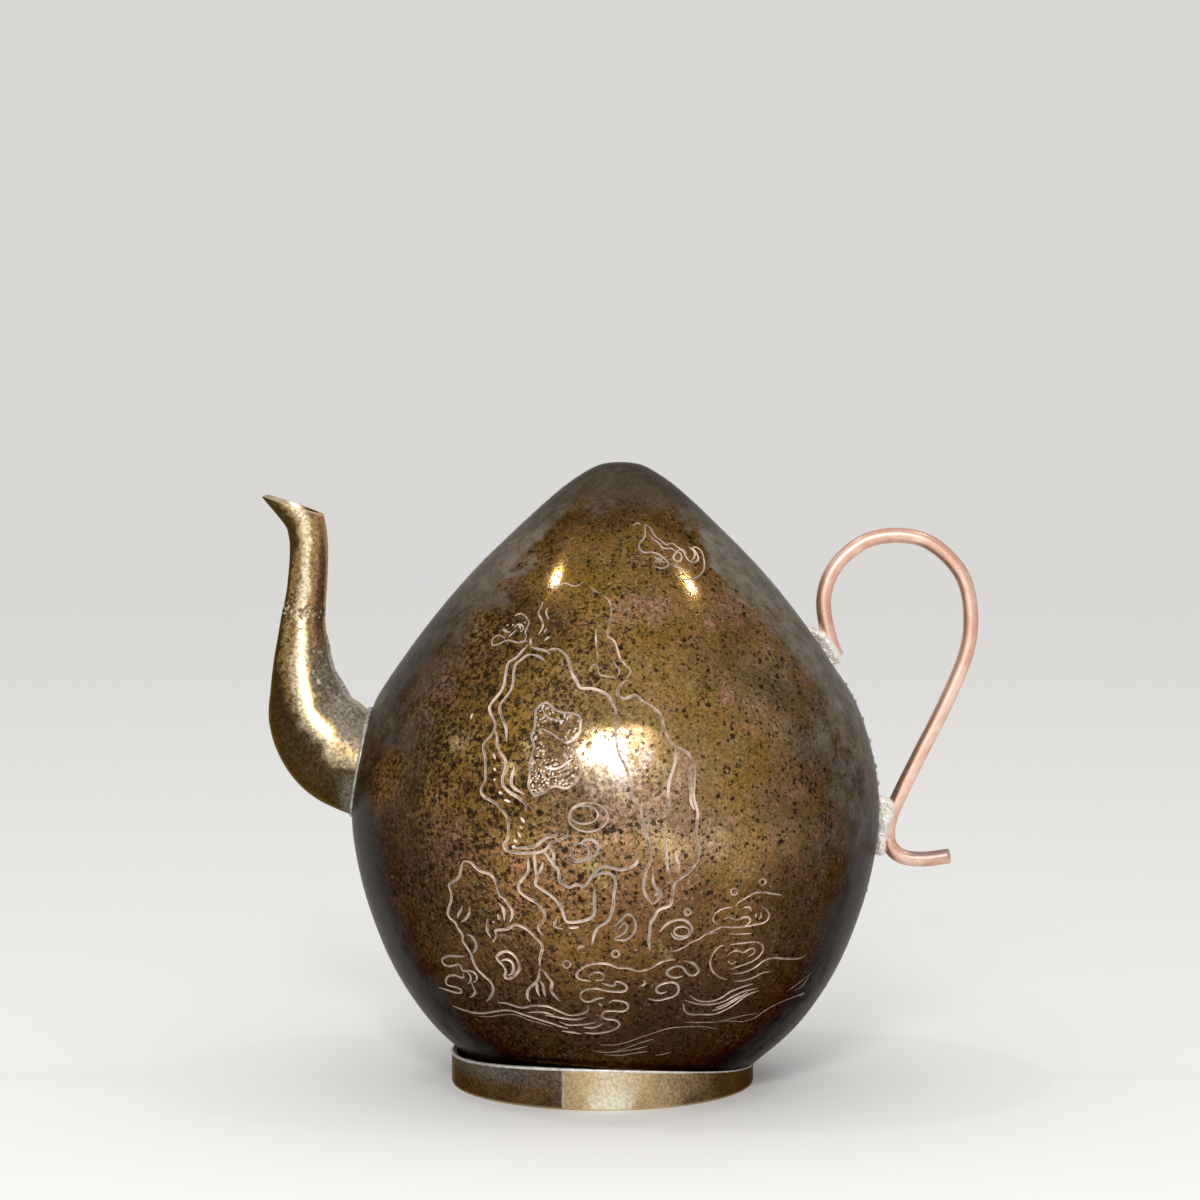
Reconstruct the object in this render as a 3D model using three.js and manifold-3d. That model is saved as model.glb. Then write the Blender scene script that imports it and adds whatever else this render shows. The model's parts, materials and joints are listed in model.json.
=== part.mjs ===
// A peach-shaped water dropper in sheet brass, with no lid and nothing that moves. Two pressed half
// shells are soldered edge to edge. A two-piece spout stands on the left and a bent wire handle on
// the right. The vessel is turned over and filled through the tube that rises from its base.
// Millimetres, +Z up, front towards -Y, origin on the table under the peach's point.
import * as THREE from 'three';
import { mergeVertices } from 'three/addons/utils/BufferGeometryUtils.js';
import Module from 'manifold-3d';

const wasm = await Module();
wasm.setup();

// Body
const overallHeight = 100;
const bodyHalfWidth = 42.6;
const bodyHalfDepth = 39.2;
const bellyHeight = 43.5;
const bellyOffset = 0.8; // the belly lies this far left of the point
const leanStart = 67; // above this height the body leans over to its point
const baseHeight = 3; // the half shells are cut flat here
const baseHalfWidth = 22.2;
const shellSheet = 0.8;
const seamWidth = 0.6;
const solderGap = 0.25; // clearance between two pieces that solder joins
// Shares of the half width, then of the height from the belly to the point
const shoulder = [
  [0.982, 0.145], [0.917, 0.306], [0.824, 0.42], [0.693, 0.558], [0.539, 0.696],
  [0.354, 0.834], [0.219, 0.926], [0.132, 0.972], [0.072, 0.995],
];
// Shares of the way out from the base to the belly, then of the way down to the base
const underside = [[0.959, 0.183], [0.851, 0.39], [0.657, 0.622], [0.367, 0.835]];

// Spout: it leaves the body's left side at the root. Points of its centre line as the way out from
// there, the radius, and the way up from there
const spoutRootHeight = 51.3;
const spoutRoute = [
  [-8.7, 8.2, -1.8], [-4.7, 8.3, -1.3], [-0.9, 8.3, 0], [2.7, 8.3, 1.9], [5.5, 7.9, 5],
  [7.3, 7, 8.3], [8.2, 5.7, 12.5], [8.6, 4.8, 15.9], [8.6, 4.2, 19.2], [8.5, 3.6, 23.1],
  [8.1, 3.3, 26.2], [7.8, 3.2, 28.9], [7.5, 3.1, 33.8], [7.7, 3.1, 37.3], [8.6, 3.3, 40.2],
  [11.4, 4.2, 45.1],
];
const spoutDepthShare = 0.94;
const spoutSheet = 0.7;
const spoutJointRise = 24.9; // the narrow tube meets the swelling one this far above the root
const lipInset = 1.4; // the middle of the slanted mouth lies this far back from the route's end
const lipDrop = 3.2; // and this far below it
const lipSlope = 18.4; // degrees
const jointBeadWidth = 1.7;
const jointBeadThickness = 0.5;
const rootFillet = 1.8;
const rootFilletEdge = 0.12; // left of the fillet where it runs out
const rootFilletReach = 2.5; // it runs out this far from the body's side
const seamBeadRadius = 0.75;
const seamBeadDrop = 5.4; // the bead on the tube's own joint starts this far below the narrow tube
const seamBeadHeight = 10.2;

// Handle: one length of wire bent to a finger loop. Its points and its lumps of solder are measured
// out and up from two seats on the body's right side
const wireDiameter = 2.4;
const upperSeatHeight = 70;
const lowerSeatHeight = 41.1;
const handleFromUpperSeat = [
  [2.4, -1.4], [1.4, 1], [0.4, 5.4], [0.4, 9], [1.7, 12.5], [4.1, 15.3], [7.6, 17.5],
  [12.2, 18.2], [16.7, 17.3], [20.6, 14.4], [23.2, 10.4], [24.1, 4.7], [23.2, -1.1],
];
const handleFromLowerSeat = [
  [10.9, 20], [7, 12.2], [3.3, 4.6], [1.8, 0.5], [1.9, -2.8], [3.8, -4.8], [7.3, -5.3], [11.7, -4.8],
];
const upperLump = { out: 0.1, length: 7.4, width: 4.6, depth: 5, tilt: -36 };
const lowerLump = { out: 1.1, length: 10, width: 3.9, depth: 5, tilt: 2 };

// Foot ring, base and filling tube
const footStandOut = 2.2; // the ring stands this far outside the edge of the body's flat base
const footOffset = 2.9; // it was soldered on this far left of the point
const footSheet = 0.9;
const footLap = 2.15; // it reaches this far above the flat base
const footFall = 0.65; // the ring's edge drops this much from its middle to the right
const footDish = 1; // and this much at both sides, to follow the round body
const buttAngle = -104.4; // degrees round from +X
const buttWidth = 0.5;
const buttProud = 0.25;
const footBead = 0.8;
const baseSheet = 0.8;
const tubeFootRadius = 6.4;
const tubeTopRadius = 4.1;
const tubeHeadroom = 24; // from the tube's end to the height of the point
const tubeSheet = 0.6;
const tubeFillet = 0.9;

// Fineness of the facets
const bodySides = 44;
const bodyRows = 24;
const roundSides = 48;
const spoutSides = 18;
const wireSides = 10;
const wireSteps = 72;

// Room that a cutting solid takes beyond what it cuts
const past = 5;

const footRadius = baseHalfWidth + footStandOut;
const footHeight = baseHeight + footLap;
const tubeTop = overallHeight - tubeHeadroom;
const spoutJointHeight = spoutRootHeight + spoutJointRise;
const seamBeadTop = spoutJointHeight - seamBeadDrop;

const brass = { color: 0x6b5233, roughness: 0.42, metalness: 0.9 };
const brightBrass = { color: 0xa07c3c, roughness: 0.35, metalness: 0.95 };
const copper = { color: 0xb07a58, roughness: 0.35, metalness: 0.95 };
const solder = { color: 0x9c9a92, roughness: 0.6, metalness: 0.6 };

function solid(geometry) {
  const bare = geometry.clone();
  bare.deleteAttribute('normal');
  bare.deleteAttribute('uv');
  const { attributes, index } = mergeVertices(bare, 1e-4);
  const corners = [];
  for (let i = 0; i < index.count; i += 3) {
    const [a, b, c] = [index.getX(i), index.getX(i + 1), index.getX(i + 2)];
    if (a !== b && b !== c && c !== a) corners.push(a, b, c);
  }
  return new wasm.Manifold(new wasm.Mesh({
    numProp: 3,
    vertProperties: Float32Array.from(attributes.position.array),
    triVerts: Uint32Array.from(corners),
  }));
}

function named(name, shape, finish) {
  const { vertProperties, triVerts } = shape.getMesh();
  const geometry = new THREE.BufferGeometry();
  geometry.setAttribute('position', new THREE.BufferAttribute(vertProperties, 3));
  geometry.setIndex(new THREE.BufferAttribute(triVerts, 1));
  geometry.computeVertexNormals();
  const piece = new THREE.Mesh(geometry, new THREE.MeshStandardMaterial(finish));
  piece.name = name;
  return piece;
}

function box(x0, x1, y0, y1, z0, z1) {
  const geometry = new THREE.BoxGeometry(x1 - x0, y1 - y0, z1 - z0);
  geometry.translate((x0 + x1) / 2, (y0 + y1) / 2, (z0 + z1) / 2);
  return solid(geometry);
}

function turned(outline, sides) {
  const geometry = new THREE.LatheGeometry(outline, sides);
  geometry.rotateX(Math.PI / 2);
  return geometry;
}

function closedOutline(pairs) {
  const points = pairs.map(([r, z]) => new THREE.Vector2(r, z));
  return [...points, points[0].clone()];
}

// The body's outline from its base to its point, moved out by an offset
function bodyOutline(offset) {
  const rise = overallHeight - bellyHeight;
  const drop = bellyHeight - baseHeight;
  const spread = bodyHalfWidth - baseHalfWidth;
  const below = underside.map(([w, h]) => [baseHalfWidth + w * spread, bellyHeight - h * drop]);
  const above = shoulder.map(([w, h]) => [w * bodyHalfWidth, bellyHeight + h * rise]);
  const curve = new THREE.SplineCurve([
    [baseHalfWidth, baseHeight], ...below.reverse(), [bodyHalfWidth, bellyHeight], ...above,
    [0, overallHeight],
  ].map(([r, z]) => new THREE.Vector2(r, z)));
  const outline = [];
  for (let i = 0; i <= bodyRows; i += 1) {
    const at = curve.getPointAt(i / bodyRows);
    const along = curve.getTangentAt(i / bodyRows);
    const last = i === bodyRows;
    const r = last ? 0 : at.x + along.y * offset;
    const z = last ? at.y + offset : at.y - along.x * offset;
    outline.push(new THREE.Vector2(Math.max(r, 0), z));
  }
  return outline;
}

function lean(z) {
  const share = (overallHeight - z) / (overallHeight - leanStart);
  return -bellyOffset * Math.min(1, Math.max(0, share));
}

// How far the body's side stands from the point's axis at a height: side -1 is left and 1 right
function sideAt(height, side) {
  const outline = bodyOutline(0);
  const above = outline.findIndex((p) => p.y >= height);
  const [low, high] = [outline[above - 1], outline[above]];
  const share = (height - low.y) / (high.y - low.y);
  return side * (low.x + share * (high.x - low.x)) + lean(height);
}

// The whole peach as one solid with a flat bottom
function peach(offset, bottom) {
  const outline = bodyOutline(offset);
  const foot = new THREE.Vector2(outline[0].x, bottom);
  const lowest = outline[0].y > bottom ? [foot] : [];
  const kept = outline.filter((p) => p.y >= bottom);
  const geometry = turned([new THREE.Vector2(0, bottom), ...lowest, ...kept], bodySides);
  geometry.scale(1, bodyHalfDepth / bodyHalfWidth, 1);
  const place = geometry.attributes.position;
  for (let i = 0; i < place.count; i += 1) place.setX(i, place.getX(i) + lean(place.getZ(i)));
  return solid(geometry);
}

const spoutRoot = sideAt(spoutRootHeight, -1);
const spoutCurve = new THREE.CatmullRomCurve3(
  spoutRoute.map(([out, r, up]) => new THREE.Vector3(spoutRoot - out, r, spoutRootHeight + up)),
);

// Share of the spout's curve at which its centre line reaches a height
function spoutShareAt(height) {
  let low = 0;
  let high = 1;
  for (let i = 0; i < 30; i += 1) {
    const middle = (low + high) / 2;
    if (spoutCurve.getPoint(middle).z < height) low = middle;
    else high = middle;
  }
  return low;
}

// A round tube between two shares of the spout's curve, fatter or thinner by an offset
function spoutSweep(from, to, steps, offset) {
  const corners = [];
  const faces = [];
  for (let i = 0; i <= steps; i += 1) {
    const at = spoutCurve.getPoint(from + ((to - from) * i) / steps);
    const along = spoutCurve.getTangent(from + ((to - from) * i) / steps);
    const across = new THREE.Vector2(along.z, -along.x).normalize();
    const radius = at.y + offset(i / steps);
    for (let k = 0; k < spoutSides; k += 1) {
      const turn = (2 * Math.PI * k) / spoutSides;
      const out = radius * Math.cos(turn);
      const side = radius * Math.sin(turn) * spoutDepthShare;
      corners.push(at.x + across.x * out, side, at.z + across.y * out);
    }
  }
  const ring = (i, k) => i * spoutSides + (k % spoutSides);
  for (let i = 0; i < steps; i += 1) {
    for (let k = 0; k < spoutSides; k += 1) {
      faces.push(ring(i, k), ring(i, k + 1), ring(i + 1, k));
      faces.push(ring(i, k + 1), ring(i + 1, k + 1), ring(i + 1, k));
    }
  }
  for (let k = 1; k < spoutSides - 1; k += 1) {
    faces.push(ring(0, 0), ring(0, k + 1), ring(0, k));
    faces.push(ring(steps, 0), ring(steps, k), ring(steps, k + 1));
  }
  const geometry = new THREE.BufferGeometry();
  geometry.setAttribute('position', new THREE.Float32BufferAttribute(corners, 3));
  geometry.setIndex(faces);
  return solid(geometry);
}

const same = (value) => () => value;
const jointShare = spoutShareAt(spoutJointHeight);
const gapShare = spoutShareAt(spoutJointHeight + solderGap);

// Everything above the slanted mouth
function mouthCut() {
  const geometry = new THREE.BoxGeometry(10 * past, 10 * past, 4 * past);
  geometry.translate(0, 0, 2 * past);
  geometry.rotateY(THREE.MathUtils.degToRad(lipSlope));
  const end = spoutCurve.getPoint(1);
  geometry.translate(end.x + lipInset, 0, end.z - lipDrop);
  return solid(geometry);
}

const peachRoom = peach(solderGap, baseHeight - solderGap);
const bore = spoutSweep(0, 1, 34, same(-spoutSheet));

// One pressed half of the body: side -1 is the front and side 1 the rear
function halfShell(side) {
  const wall = peach(0, baseHeight).subtract(peach(-shellSheet, baseHeight - past));
  const edge = seamWidth / 2 + solderGap;
  const far = bodyHalfDepth + past;
  const wide = bodyHalfWidth + past;
  const half = side < 0
    ? box(-wide, wide, -far, -edge, -past, overallHeight + past)
    : box(-wide, wide, edge, far, -past, overallHeight + past);
  return wall.intersect(half).subtract(bore);
}

// Solder in the joint between the half shells, flush with both faces of the sheet
function seamBand() {
  const outer = bodyOutline(0);
  const inner = bodyOutline(-shellSheet);
  const to = (p, side) => [side * p.x + lean(p.y), p.y];
  const loop = [
    ...outer.map((p) => to(p, -1)), ...outer.slice(0, -1).reverse().map((p) => to(p, 1)),
    ...inner.map((p) => to(p, 1)), ...inner.slice(0, -1).reverse().map((p) => to(p, -1)),
  ].map(([x, z]) => new THREE.Vector2(x, Math.max(z, baseHeight)));
  const geometry = new THREE.ExtrudeGeometry(new THREE.Shape(loop), {
    depth: seamWidth, bevelEnabled: false, steps: 1,
  });
  geometry.translate(0, 0, -seamWidth / 2);
  geometry.rotateX(Math.PI / 2);
  return solid(geometry);
}

const spoutRoom = spoutSweep(0, 0.4, 14, same(solderGap));
const band = seamBand();

function seamOverPoint() {
  const left = -bodyHalfWidth - past;
  const lower = box(left, 0, -past, past, -past, spoutRootHeight);
  return band.subtract(spoutRoom).subtract(lower);
}

function seamUnderSpout() {
  const left = -bodyHalfWidth - past;
  return band.intersect(box(left, 0, -past, past, -past, spoutRootHeight)).subtract(spoutRoom);
}

function spoutLower() {
  return spoutSweep(0, jointShare, 22, same(0)).subtract(bore).subtract(peachRoom);
}

function spoutTip() {
  return spoutSweep(gapShare, 1, 12, same(0)).subtract(bore).subtract(mouthCut());
}

function spoutJointSolder() {
  const from = spoutShareAt(spoutJointHeight - jointBeadWidth / 2);
  const to = spoutShareAt(spoutJointHeight + jointBeadWidth / 2);
  const swell = (share) => solderGap + jointBeadThickness * Math.sin(Math.PI * (0.12 + 0.76 * share));
  return spoutSweep(from, to, 4, swell).subtract(spoutSweep(0.3, 1, 30, same(solderGap)));
}

// Solder along the joint in the sheet of the swelling tube, on the side towards the body
function spoutSeamSolder() {
  const points = [];
  const steps = 6;
  for (let i = 0; i <= steps; i += 1) {
    const share = spoutShareAt(seamBeadTop - seamBeadHeight * (1 - i / steps));
    const at = spoutCurve.getPoint(share);
    const along = spoutCurve.getTangent(share);
    const across = new THREE.Vector2(along.z, -along.x).normalize();
    const out = at.y + solderGap;
    points.push(new THREE.Vector3(at.x + across.x * out, 0, at.z + across.y * out));
  }
  const strip = rod(new THREE.CatmullRomCurve3(points), seamBeadRadius, 8, 2 * steps);
  return strip.subtract(spoutSweep(0.1, 0.9, 40, same(solderGap))).subtract(peachRoom);
}

function spoutBaseSolder() {
  const to = rootShare();
  const flare = (share) => solderGap + rootFilletEdge + rootFillet * (1 - share) ** 1.5;
  const fillet = spoutSweep(0.04, to, 9, flare);
  return fillet.subtract(spoutSweep(0, 0.5, 20, same(solderGap))).subtract(peachRoom);
}

function rootShare() {
  let share = 0;
  while (spoutCurve.getPoint(share).x > spoutRoot - rootFilletReach) share += 0.002;
  return share;
}

// A round bar along a curve
function rod(curve, radius, sides, steps) {
  const section = new THREE.Shape();
  for (let k = 0; k < sides; k += 1) {
    const turn = (2 * Math.PI * k) / sides;
    if (k === 0) section.moveTo(radius, 0);
    else section.lineTo(radius * Math.cos(turn), radius * Math.sin(turn));
  }
  return solid(new THREE.ExtrudeGeometry(section, { steps, bevelEnabled: false, extrudePath: curve }));
}

const upperSeat = new THREE.Vector3(sideAt(upperSeatHeight, 1), 0, upperSeatHeight);
const lowerSeat = new THREE.Vector3(sideAt(lowerSeatHeight, 1), 0, lowerSeatHeight);
const from = (seat) => ([out, up]) => new THREE.Vector3(seat.x + out, 0, seat.z + up);
const handleCurve = new THREE.CatmullRomCurve3([
  ...handleFromUpperSeat.map(from(upperSeat)), ...handleFromLowerSeat.map(from(lowerSeat)),
]);

function handleWire() {
  return rod(handleCurve, wireDiameter / 2, wireSides, wireSteps).subtract(peachRoom);
}

// A lump of solder that fills the corner between the wire and the body
function solderLump(seat, { out, length, width, depth, tilt }) {
  const geometry = new THREE.SphereGeometry(0.5, 14, 10);
  geometry.scale(width, depth, length);
  geometry.rotateY(THREE.MathUtils.degToRad(tilt));
  geometry.translate(seat.x + out, 0, seat.z);
  const wireRoom = rod(handleCurve, wireDiameter / 2 + solderGap, wireSides, wireSteps);
  return solid(geometry).subtract(wireRoom).subtract(peachRoom);
}

function footTop(turn) {
  return footHeight - footFall * Math.cos(turn) - footDish * Math.cos(2 * turn);
}

// Height of the body's underside above a point of the table
function underBody(x, y) {
  const reach = Math.hypot(x + bellyOffset, (y * bodyHalfWidth) / bodyHalfDepth);
  const outline = bodyOutline(0);
  for (let i = 1; i < outline.length; i += 1) {
    if (outline[i].x >= reach) {
      const share = (reach - outline[i - 1].x) / (outline[i].x - outline[i - 1].x);
      return outline[i - 1].y + Math.max(0, share) * (outline[i].y - outline[i - 1].y);
    }
  }
  return bellyHeight;
}

function cylinder(radius, z0, z1, sides) {
  const outline = [[0, z0], [radius, z0], [radius, z1], [0, z1]];
  const geometry = turned(outline.map(([r, z]) => new THREE.Vector2(r, z)), sides);
  return geometry;
}

function moved(geometry) {
  geometry.translate(-footOffset, 0, 0);
  return solid(geometry);
}

// A strip of brass bent to a ring, its upper edge filed to the body, its ends apart at the front
function footBand(grow) {
  const high = footHeight + footFall + footDish;
  const inner = footRadius - footSheet - grow;
  const outline = closedOutline([
    [inner, 0], [footRadius + grow, 0], [footRadius + grow, high], [inner, high],
  ]);
  const geometry = turned(outline, roundSides);
  const place = geometry.attributes.position;
  for (let i = 0; i < place.count; i += 1) {
    if (place.getZ(i) > high / 2) place.setZ(i, footTop(Math.atan2(place.getY(i), place.getX(i))));
  }
  return moved(geometry);
}

function buttBar(width, r0, r1, z0, z1) {
  const geometry = new THREE.BoxGeometry(r1 - r0, width, z1 - z0);
  geometry.translate((r0 + r1) / 2, 0, (z0 + z1) / 2);
  geometry.rotateZ(THREE.MathUtils.degToRad(buttAngle));
  return moved(geometry);
}

function footRing() {
  const slot = buttBar(buttWidth + 2 * solderGap, footRadius - past, footRadius + past, -past, 2 * past);
  return footBand(0).subtract(slot).subtract(peachRoom);
}

function footRingJoint() {
  const top = footTop(THREE.MathUtils.degToRad(buttAngle)) - solderGap;
  const inner = footRadius - footSheet;
  return buttBar(buttWidth, inner, footRadius + buttProud, 0, top).subtract(peachRoom);
}

// A bead of solder in the corner between the foot ring's upper edge and the body
function footSolder() {
  const points = [];
  for (let k = 0; k < roundSides; k += 1) {
    const turn = (2 * Math.PI * k) / roundSides;
    const [x, y] = [footRadius * Math.cos(turn) - footOffset, footRadius * Math.sin(turn)];
    const z = Math.min(footTop(turn), underBody(x, y));
    points.push(new THREE.Vector3(x, y, z));
  }
  const curve = new THREE.CatmullRomCurve3([...points, points[0].clone()]);
  const bead = rod(curve, footBead, 8, 2 * roundSides);
  const within = moved(cylinder(footRadius + solderGap, -past, 3 * past, roundSides));
  return bead.subtract(within).subtract(peachRoom);
}

const baseUnder = baseHeight - solderGap - baseSheet;

function baseDisc() {
  const radius = footRadius - footSheet - solderGap;
  const hole = moved(cylinder(tubeFootRadius + solderGap, -past, 2 * past, roundSides));
  return moved(cylinder(radius, baseUnder, baseUnder + baseSheet, roundSides)).subtract(hole);
}

function fillTube() {
  const outline = closedOutline([
    [tubeFootRadius - tubeSheet, baseUnder], [tubeFootRadius, baseUnder],
    [tubeTopRadius, tubeTop], [tubeTopRadius - tubeSheet, tubeTop],
  ]);
  return moved(turned(outline, roundSides / 2));
}

// Solder between the filling tube and the inside of the base
function fillCollar() {
  const inner = tubeFootRadius + solderGap;
  const foot = baseUnder + baseSheet + solderGap;
  const outline = closedOutline([[inner, foot], [inner + tubeFillet, foot], [inner, foot + tubeFillet]]);
  return moved(turned(outline, roundSides / 2));
}

const group = new THREE.Group();
group.add(
  named('front_shell', halfShell(-1), brass),
  named('rear_shell', halfShell(1), brass),
  named('seam_over_point', seamOverPoint(), solder),
  named('seam_under_spout', seamUnderSpout(), solder),
  named('spout_lower', spoutLower(), brightBrass),
  named('spout_tip', spoutTip(), brightBrass),
  named('spout_joint_solder', spoutJointSolder(), solder),
  named('spout_seam_solder', spoutSeamSolder(), solder),
  named('spout_base_solder', spoutBaseSolder(), solder),
  named('handle_wire', handleWire(), copper),
  named('handle_upper_solder', solderLump(upperSeat, upperLump), solder),
  named('handle_lower_solder', solderLump(lowerSeat, lowerLump), solder),
  named('foot_ring', footRing(), brass),
  named('foot_ring_joint', footRingJoint(), solder),
  named('foot_solder', footSolder(), solder),
  named('base_disc', baseDisc(), brass),
  named('fill_tube', fillTube(), brass),
  named('fill_collar', fillCollar(), solder),
);

export default group;
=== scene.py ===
import json
import math
import random
import time

import bmesh
import bpy
import numpy as np
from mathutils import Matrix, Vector, noise

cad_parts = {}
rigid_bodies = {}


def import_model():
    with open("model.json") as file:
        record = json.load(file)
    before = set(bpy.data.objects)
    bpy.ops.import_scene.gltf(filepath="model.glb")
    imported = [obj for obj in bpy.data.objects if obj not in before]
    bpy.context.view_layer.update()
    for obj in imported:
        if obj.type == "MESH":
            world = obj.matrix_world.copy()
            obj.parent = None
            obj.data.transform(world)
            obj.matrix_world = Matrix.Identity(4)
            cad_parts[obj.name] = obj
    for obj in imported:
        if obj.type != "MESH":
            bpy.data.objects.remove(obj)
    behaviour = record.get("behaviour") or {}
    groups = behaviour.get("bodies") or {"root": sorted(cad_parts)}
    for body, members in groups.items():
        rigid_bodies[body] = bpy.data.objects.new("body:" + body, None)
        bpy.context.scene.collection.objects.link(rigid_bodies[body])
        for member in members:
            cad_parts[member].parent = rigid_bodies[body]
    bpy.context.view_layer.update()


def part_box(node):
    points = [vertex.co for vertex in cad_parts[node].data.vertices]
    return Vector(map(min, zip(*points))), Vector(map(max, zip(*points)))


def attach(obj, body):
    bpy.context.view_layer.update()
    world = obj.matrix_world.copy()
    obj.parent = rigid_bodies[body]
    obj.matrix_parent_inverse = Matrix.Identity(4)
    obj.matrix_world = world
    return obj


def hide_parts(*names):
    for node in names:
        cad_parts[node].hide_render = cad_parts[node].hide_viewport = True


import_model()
startTime = time.time()
mm = 0.001


def report(stage):
    print(f"{stage} ({time.time() - startTime:.1f} s)")


# Smooth lines

def smoothLine(points, count, ease=0, closed=False):
    knots = np.array(points, float)
    before = knots[-2] if closed else 2 * knots[0] - knots[1]
    after = knots[1] if closed else 2 * knots[-1] - knots[-2]
    knots = np.vstack([before, knots, after])
    fine = []
    for i in range(1, len(knots) - 2):
        a, b, c, d = knots[i - 1:i + 3]
        for t in np.linspace(0, 1, 24, endpoint=False):
            cubic = (3 * b - a - 3 * c + d) * t ** 3
            fine.append((2 * b + (c - a) * t + (2 * a - 5 * b + 4 * c - d) * t ** 2 + cubic) / 2)
    fine = np.array(fine + [knots[-2]])
    run = np.concatenate([[0], np.cumsum(np.linalg.norm(np.diff(fine, axis=0), axis=1))])
    stops = np.linspace(0, run[-1], count)
    line = np.column_stack([np.interp(stops, run, fine[:, k]) for k in range(fine.shape[1])])
    for _ in range(ease):
        line[1:-1] = (line[:-2] + 2 * line[1:-1] + line[2:]) / 4
    return line


def directions(line, closed=False):
    if closed:
        return np.roll(line, -1, axis=0) - np.roll(line, 1, axis=0)
    return np.gradient(line, axis=0)


def unit(rows):
    return rows / np.linalg.norm(rows, axis=1)[:, None]


def fullTurn(count):
    return np.linspace(0, 2 * math.pi, count, endpoint=False)


# The camera, which also sets how the engraving lies on the front

view = {
    "place": (-3.3, -470.0, 96.8),  # mm
    "lookDown": 2.32,  # degrees
    "lens": 87.5,
    "filmWidth": 36.0,
}


def addCamera():
    camera = bpy.data.objects.new("camera", bpy.data.cameras.new("camera"))
    bpy.context.scene.collection.objects.link(camera)
    camera.data.lens = view["lens"]
    camera.data.sensor_width = view["filmWidth"]
    camera.data.clip_start = 0.01
    camera.location = Vector(view["place"]) * mm
    camera.rotation_euler = (math.radians(90 - view["lookDown"]), 0, 0)
    bpy.context.scene.camera = camera


# The form of the peach, in mm

shellLow, shellHigh = [np.array(corner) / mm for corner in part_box("front_shell")]

peach = {
    "height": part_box("seam_over_point")[1][2] / mm,
    "halfWidth": (shellHigh[0] - shellLow[0]) / 2,
    "halfDepth": -shellLow[1],
    "bellyShift": (shellHigh[0] + shellLow[0]) / 2,
    "bellyHeight": 43.5,
    "leanStart": 67.0,
    "baseHeight": shellLow[2],
    "baseHalfWidth": 22.2,
    "sheet": 0.8,
    "seam": 0.6,
    # shares of the half width, then of the height from the belly to the point
    "shoulder": [
        (0.982, 0.145), (0.917, 0.306), (0.824, 0.42), (0.693, 0.558), (0.539, 0.696),
        (0.354, 0.834), (0.219, 0.926), (0.132, 0.972), (0.072, 0.995),
    ],
    # shares of the way out from the base to the belly, then of the way down to the base
    "underside": [(0.959, 0.183), (0.851, 0.39), (0.657, 0.622), (0.367, 0.835)],
}


def peachOutline(count=600):
    rise = peach["height"] - peach["bellyHeight"]
    drop = peach["bellyHeight"] - peach["baseHeight"]
    spread = peach["halfWidth"] - peach["baseHalfWidth"]
    low = [(peach["baseHalfWidth"] + w * spread, peach["bellyHeight"] - h * drop)
           for w, h in reversed(peach["underside"])]
    high = [(w * peach["halfWidth"], peach["bellyHeight"] + h * rise) for w, h in peach["shoulder"]]
    side = [(peach["baseHalfWidth"], peach["baseHeight"]), *low,
            (peach["halfWidth"], peach["bellyHeight"]), *high, (0, peach["height"])]
    both = side + [(-r, z) for r, z in reversed(side[:-1])]
    line = smoothLine(both, 2 * count - 1, ease=60)[:count]
    line[-1] = (0, line[-1][1])
    line[:, 1] = peach["baseHeight"] + (line[:, 1] - peach["baseHeight"]) * (
        (peach["height"] - peach["baseHeight"]) / (line[-1][1] - peach["baseHeight"]))
    line[:, 0] *= peach["halfWidth"] / line[:, 0].max()
    return line


outline = peachOutline()
outlineSlope = unit(directions(outline))
squeeze = peach["halfDepth"] / peach["halfWidth"]


def lean(z):
    share = (peach["height"] - z) / (peach["height"] - peach["leanStart"])
    return peach["bellyShift"] * np.clip(share, 0, 1)


def peachNormals(points):
    points = np.atleast_2d(points)
    z = np.clip(points[:, 2], peach["baseHeight"], peach["height"])
    across = points[:, 0] - lean(z)
    deep = points[:, 1] / squeeze
    reach = np.maximum(np.hypot(across, deep), 1e-6)
    outward = np.interp(z, outline[:, 1], outlineSlope[:, 1])
    upward = np.interp(z, outline[:, 1], -outlineSlope[:, 0])
    return unit(np.column_stack([outward * across / reach, outward * deep / reach / squeeze, upward]))


def onFront(points):  # where the camera sees points of the seam's plane on the front shell
    eye = np.array(view["place"])
    toward = np.column_stack([points[:, 0], np.zeros(len(points)), points[:, 1]]) - eye
    outside = np.full(len(points), 0.8)
    inside = np.ones(len(points))
    for _ in range(30):
        middle = (outside + inside) / 2
        spots = eye + toward * middle[:, None]
        reach = np.hypot(spots[:, 0] - lean(spots[:, 2]), spots[:, 1] / squeeze)
        isOutside = reach > np.interp(spots[:, 2], outline[:, 1], outline[:, 0])
        outside = np.where(isOutside, middle, outside)
        inside = np.where(isOutside, inside, middle)
    return eye + toward * inside[:, None]


# Meshes, in mm

clearance = 0.02  # between pieces that solder joins


def gathered(items, what, width=1, kind=float):
    values = np.empty(len(items) * width, kind)
    items.foreach_get(what, values)
    return values.reshape(-1, width) if width > 1 else values


def makeObject(name, corners, faces):
    mesh = bpy.data.meshes.new(name)
    mesh.from_pydata([tuple(c) for c in np.array(corners) * mm], [], faces)
    mesh.validate()
    mesh.update()
    thing = bpy.data.objects.new(name, mesh)
    bpy.context.scene.collection.objects.link(thing)
    return thing


def fixFacing(thing):
    shape = bmesh.new()
    shape.from_mesh(thing.data)
    bmesh.ops.recalc_face_normals(shape, faces=shape.faces)
    shape.to_mesh(thing.data)
    shape.free()


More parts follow.
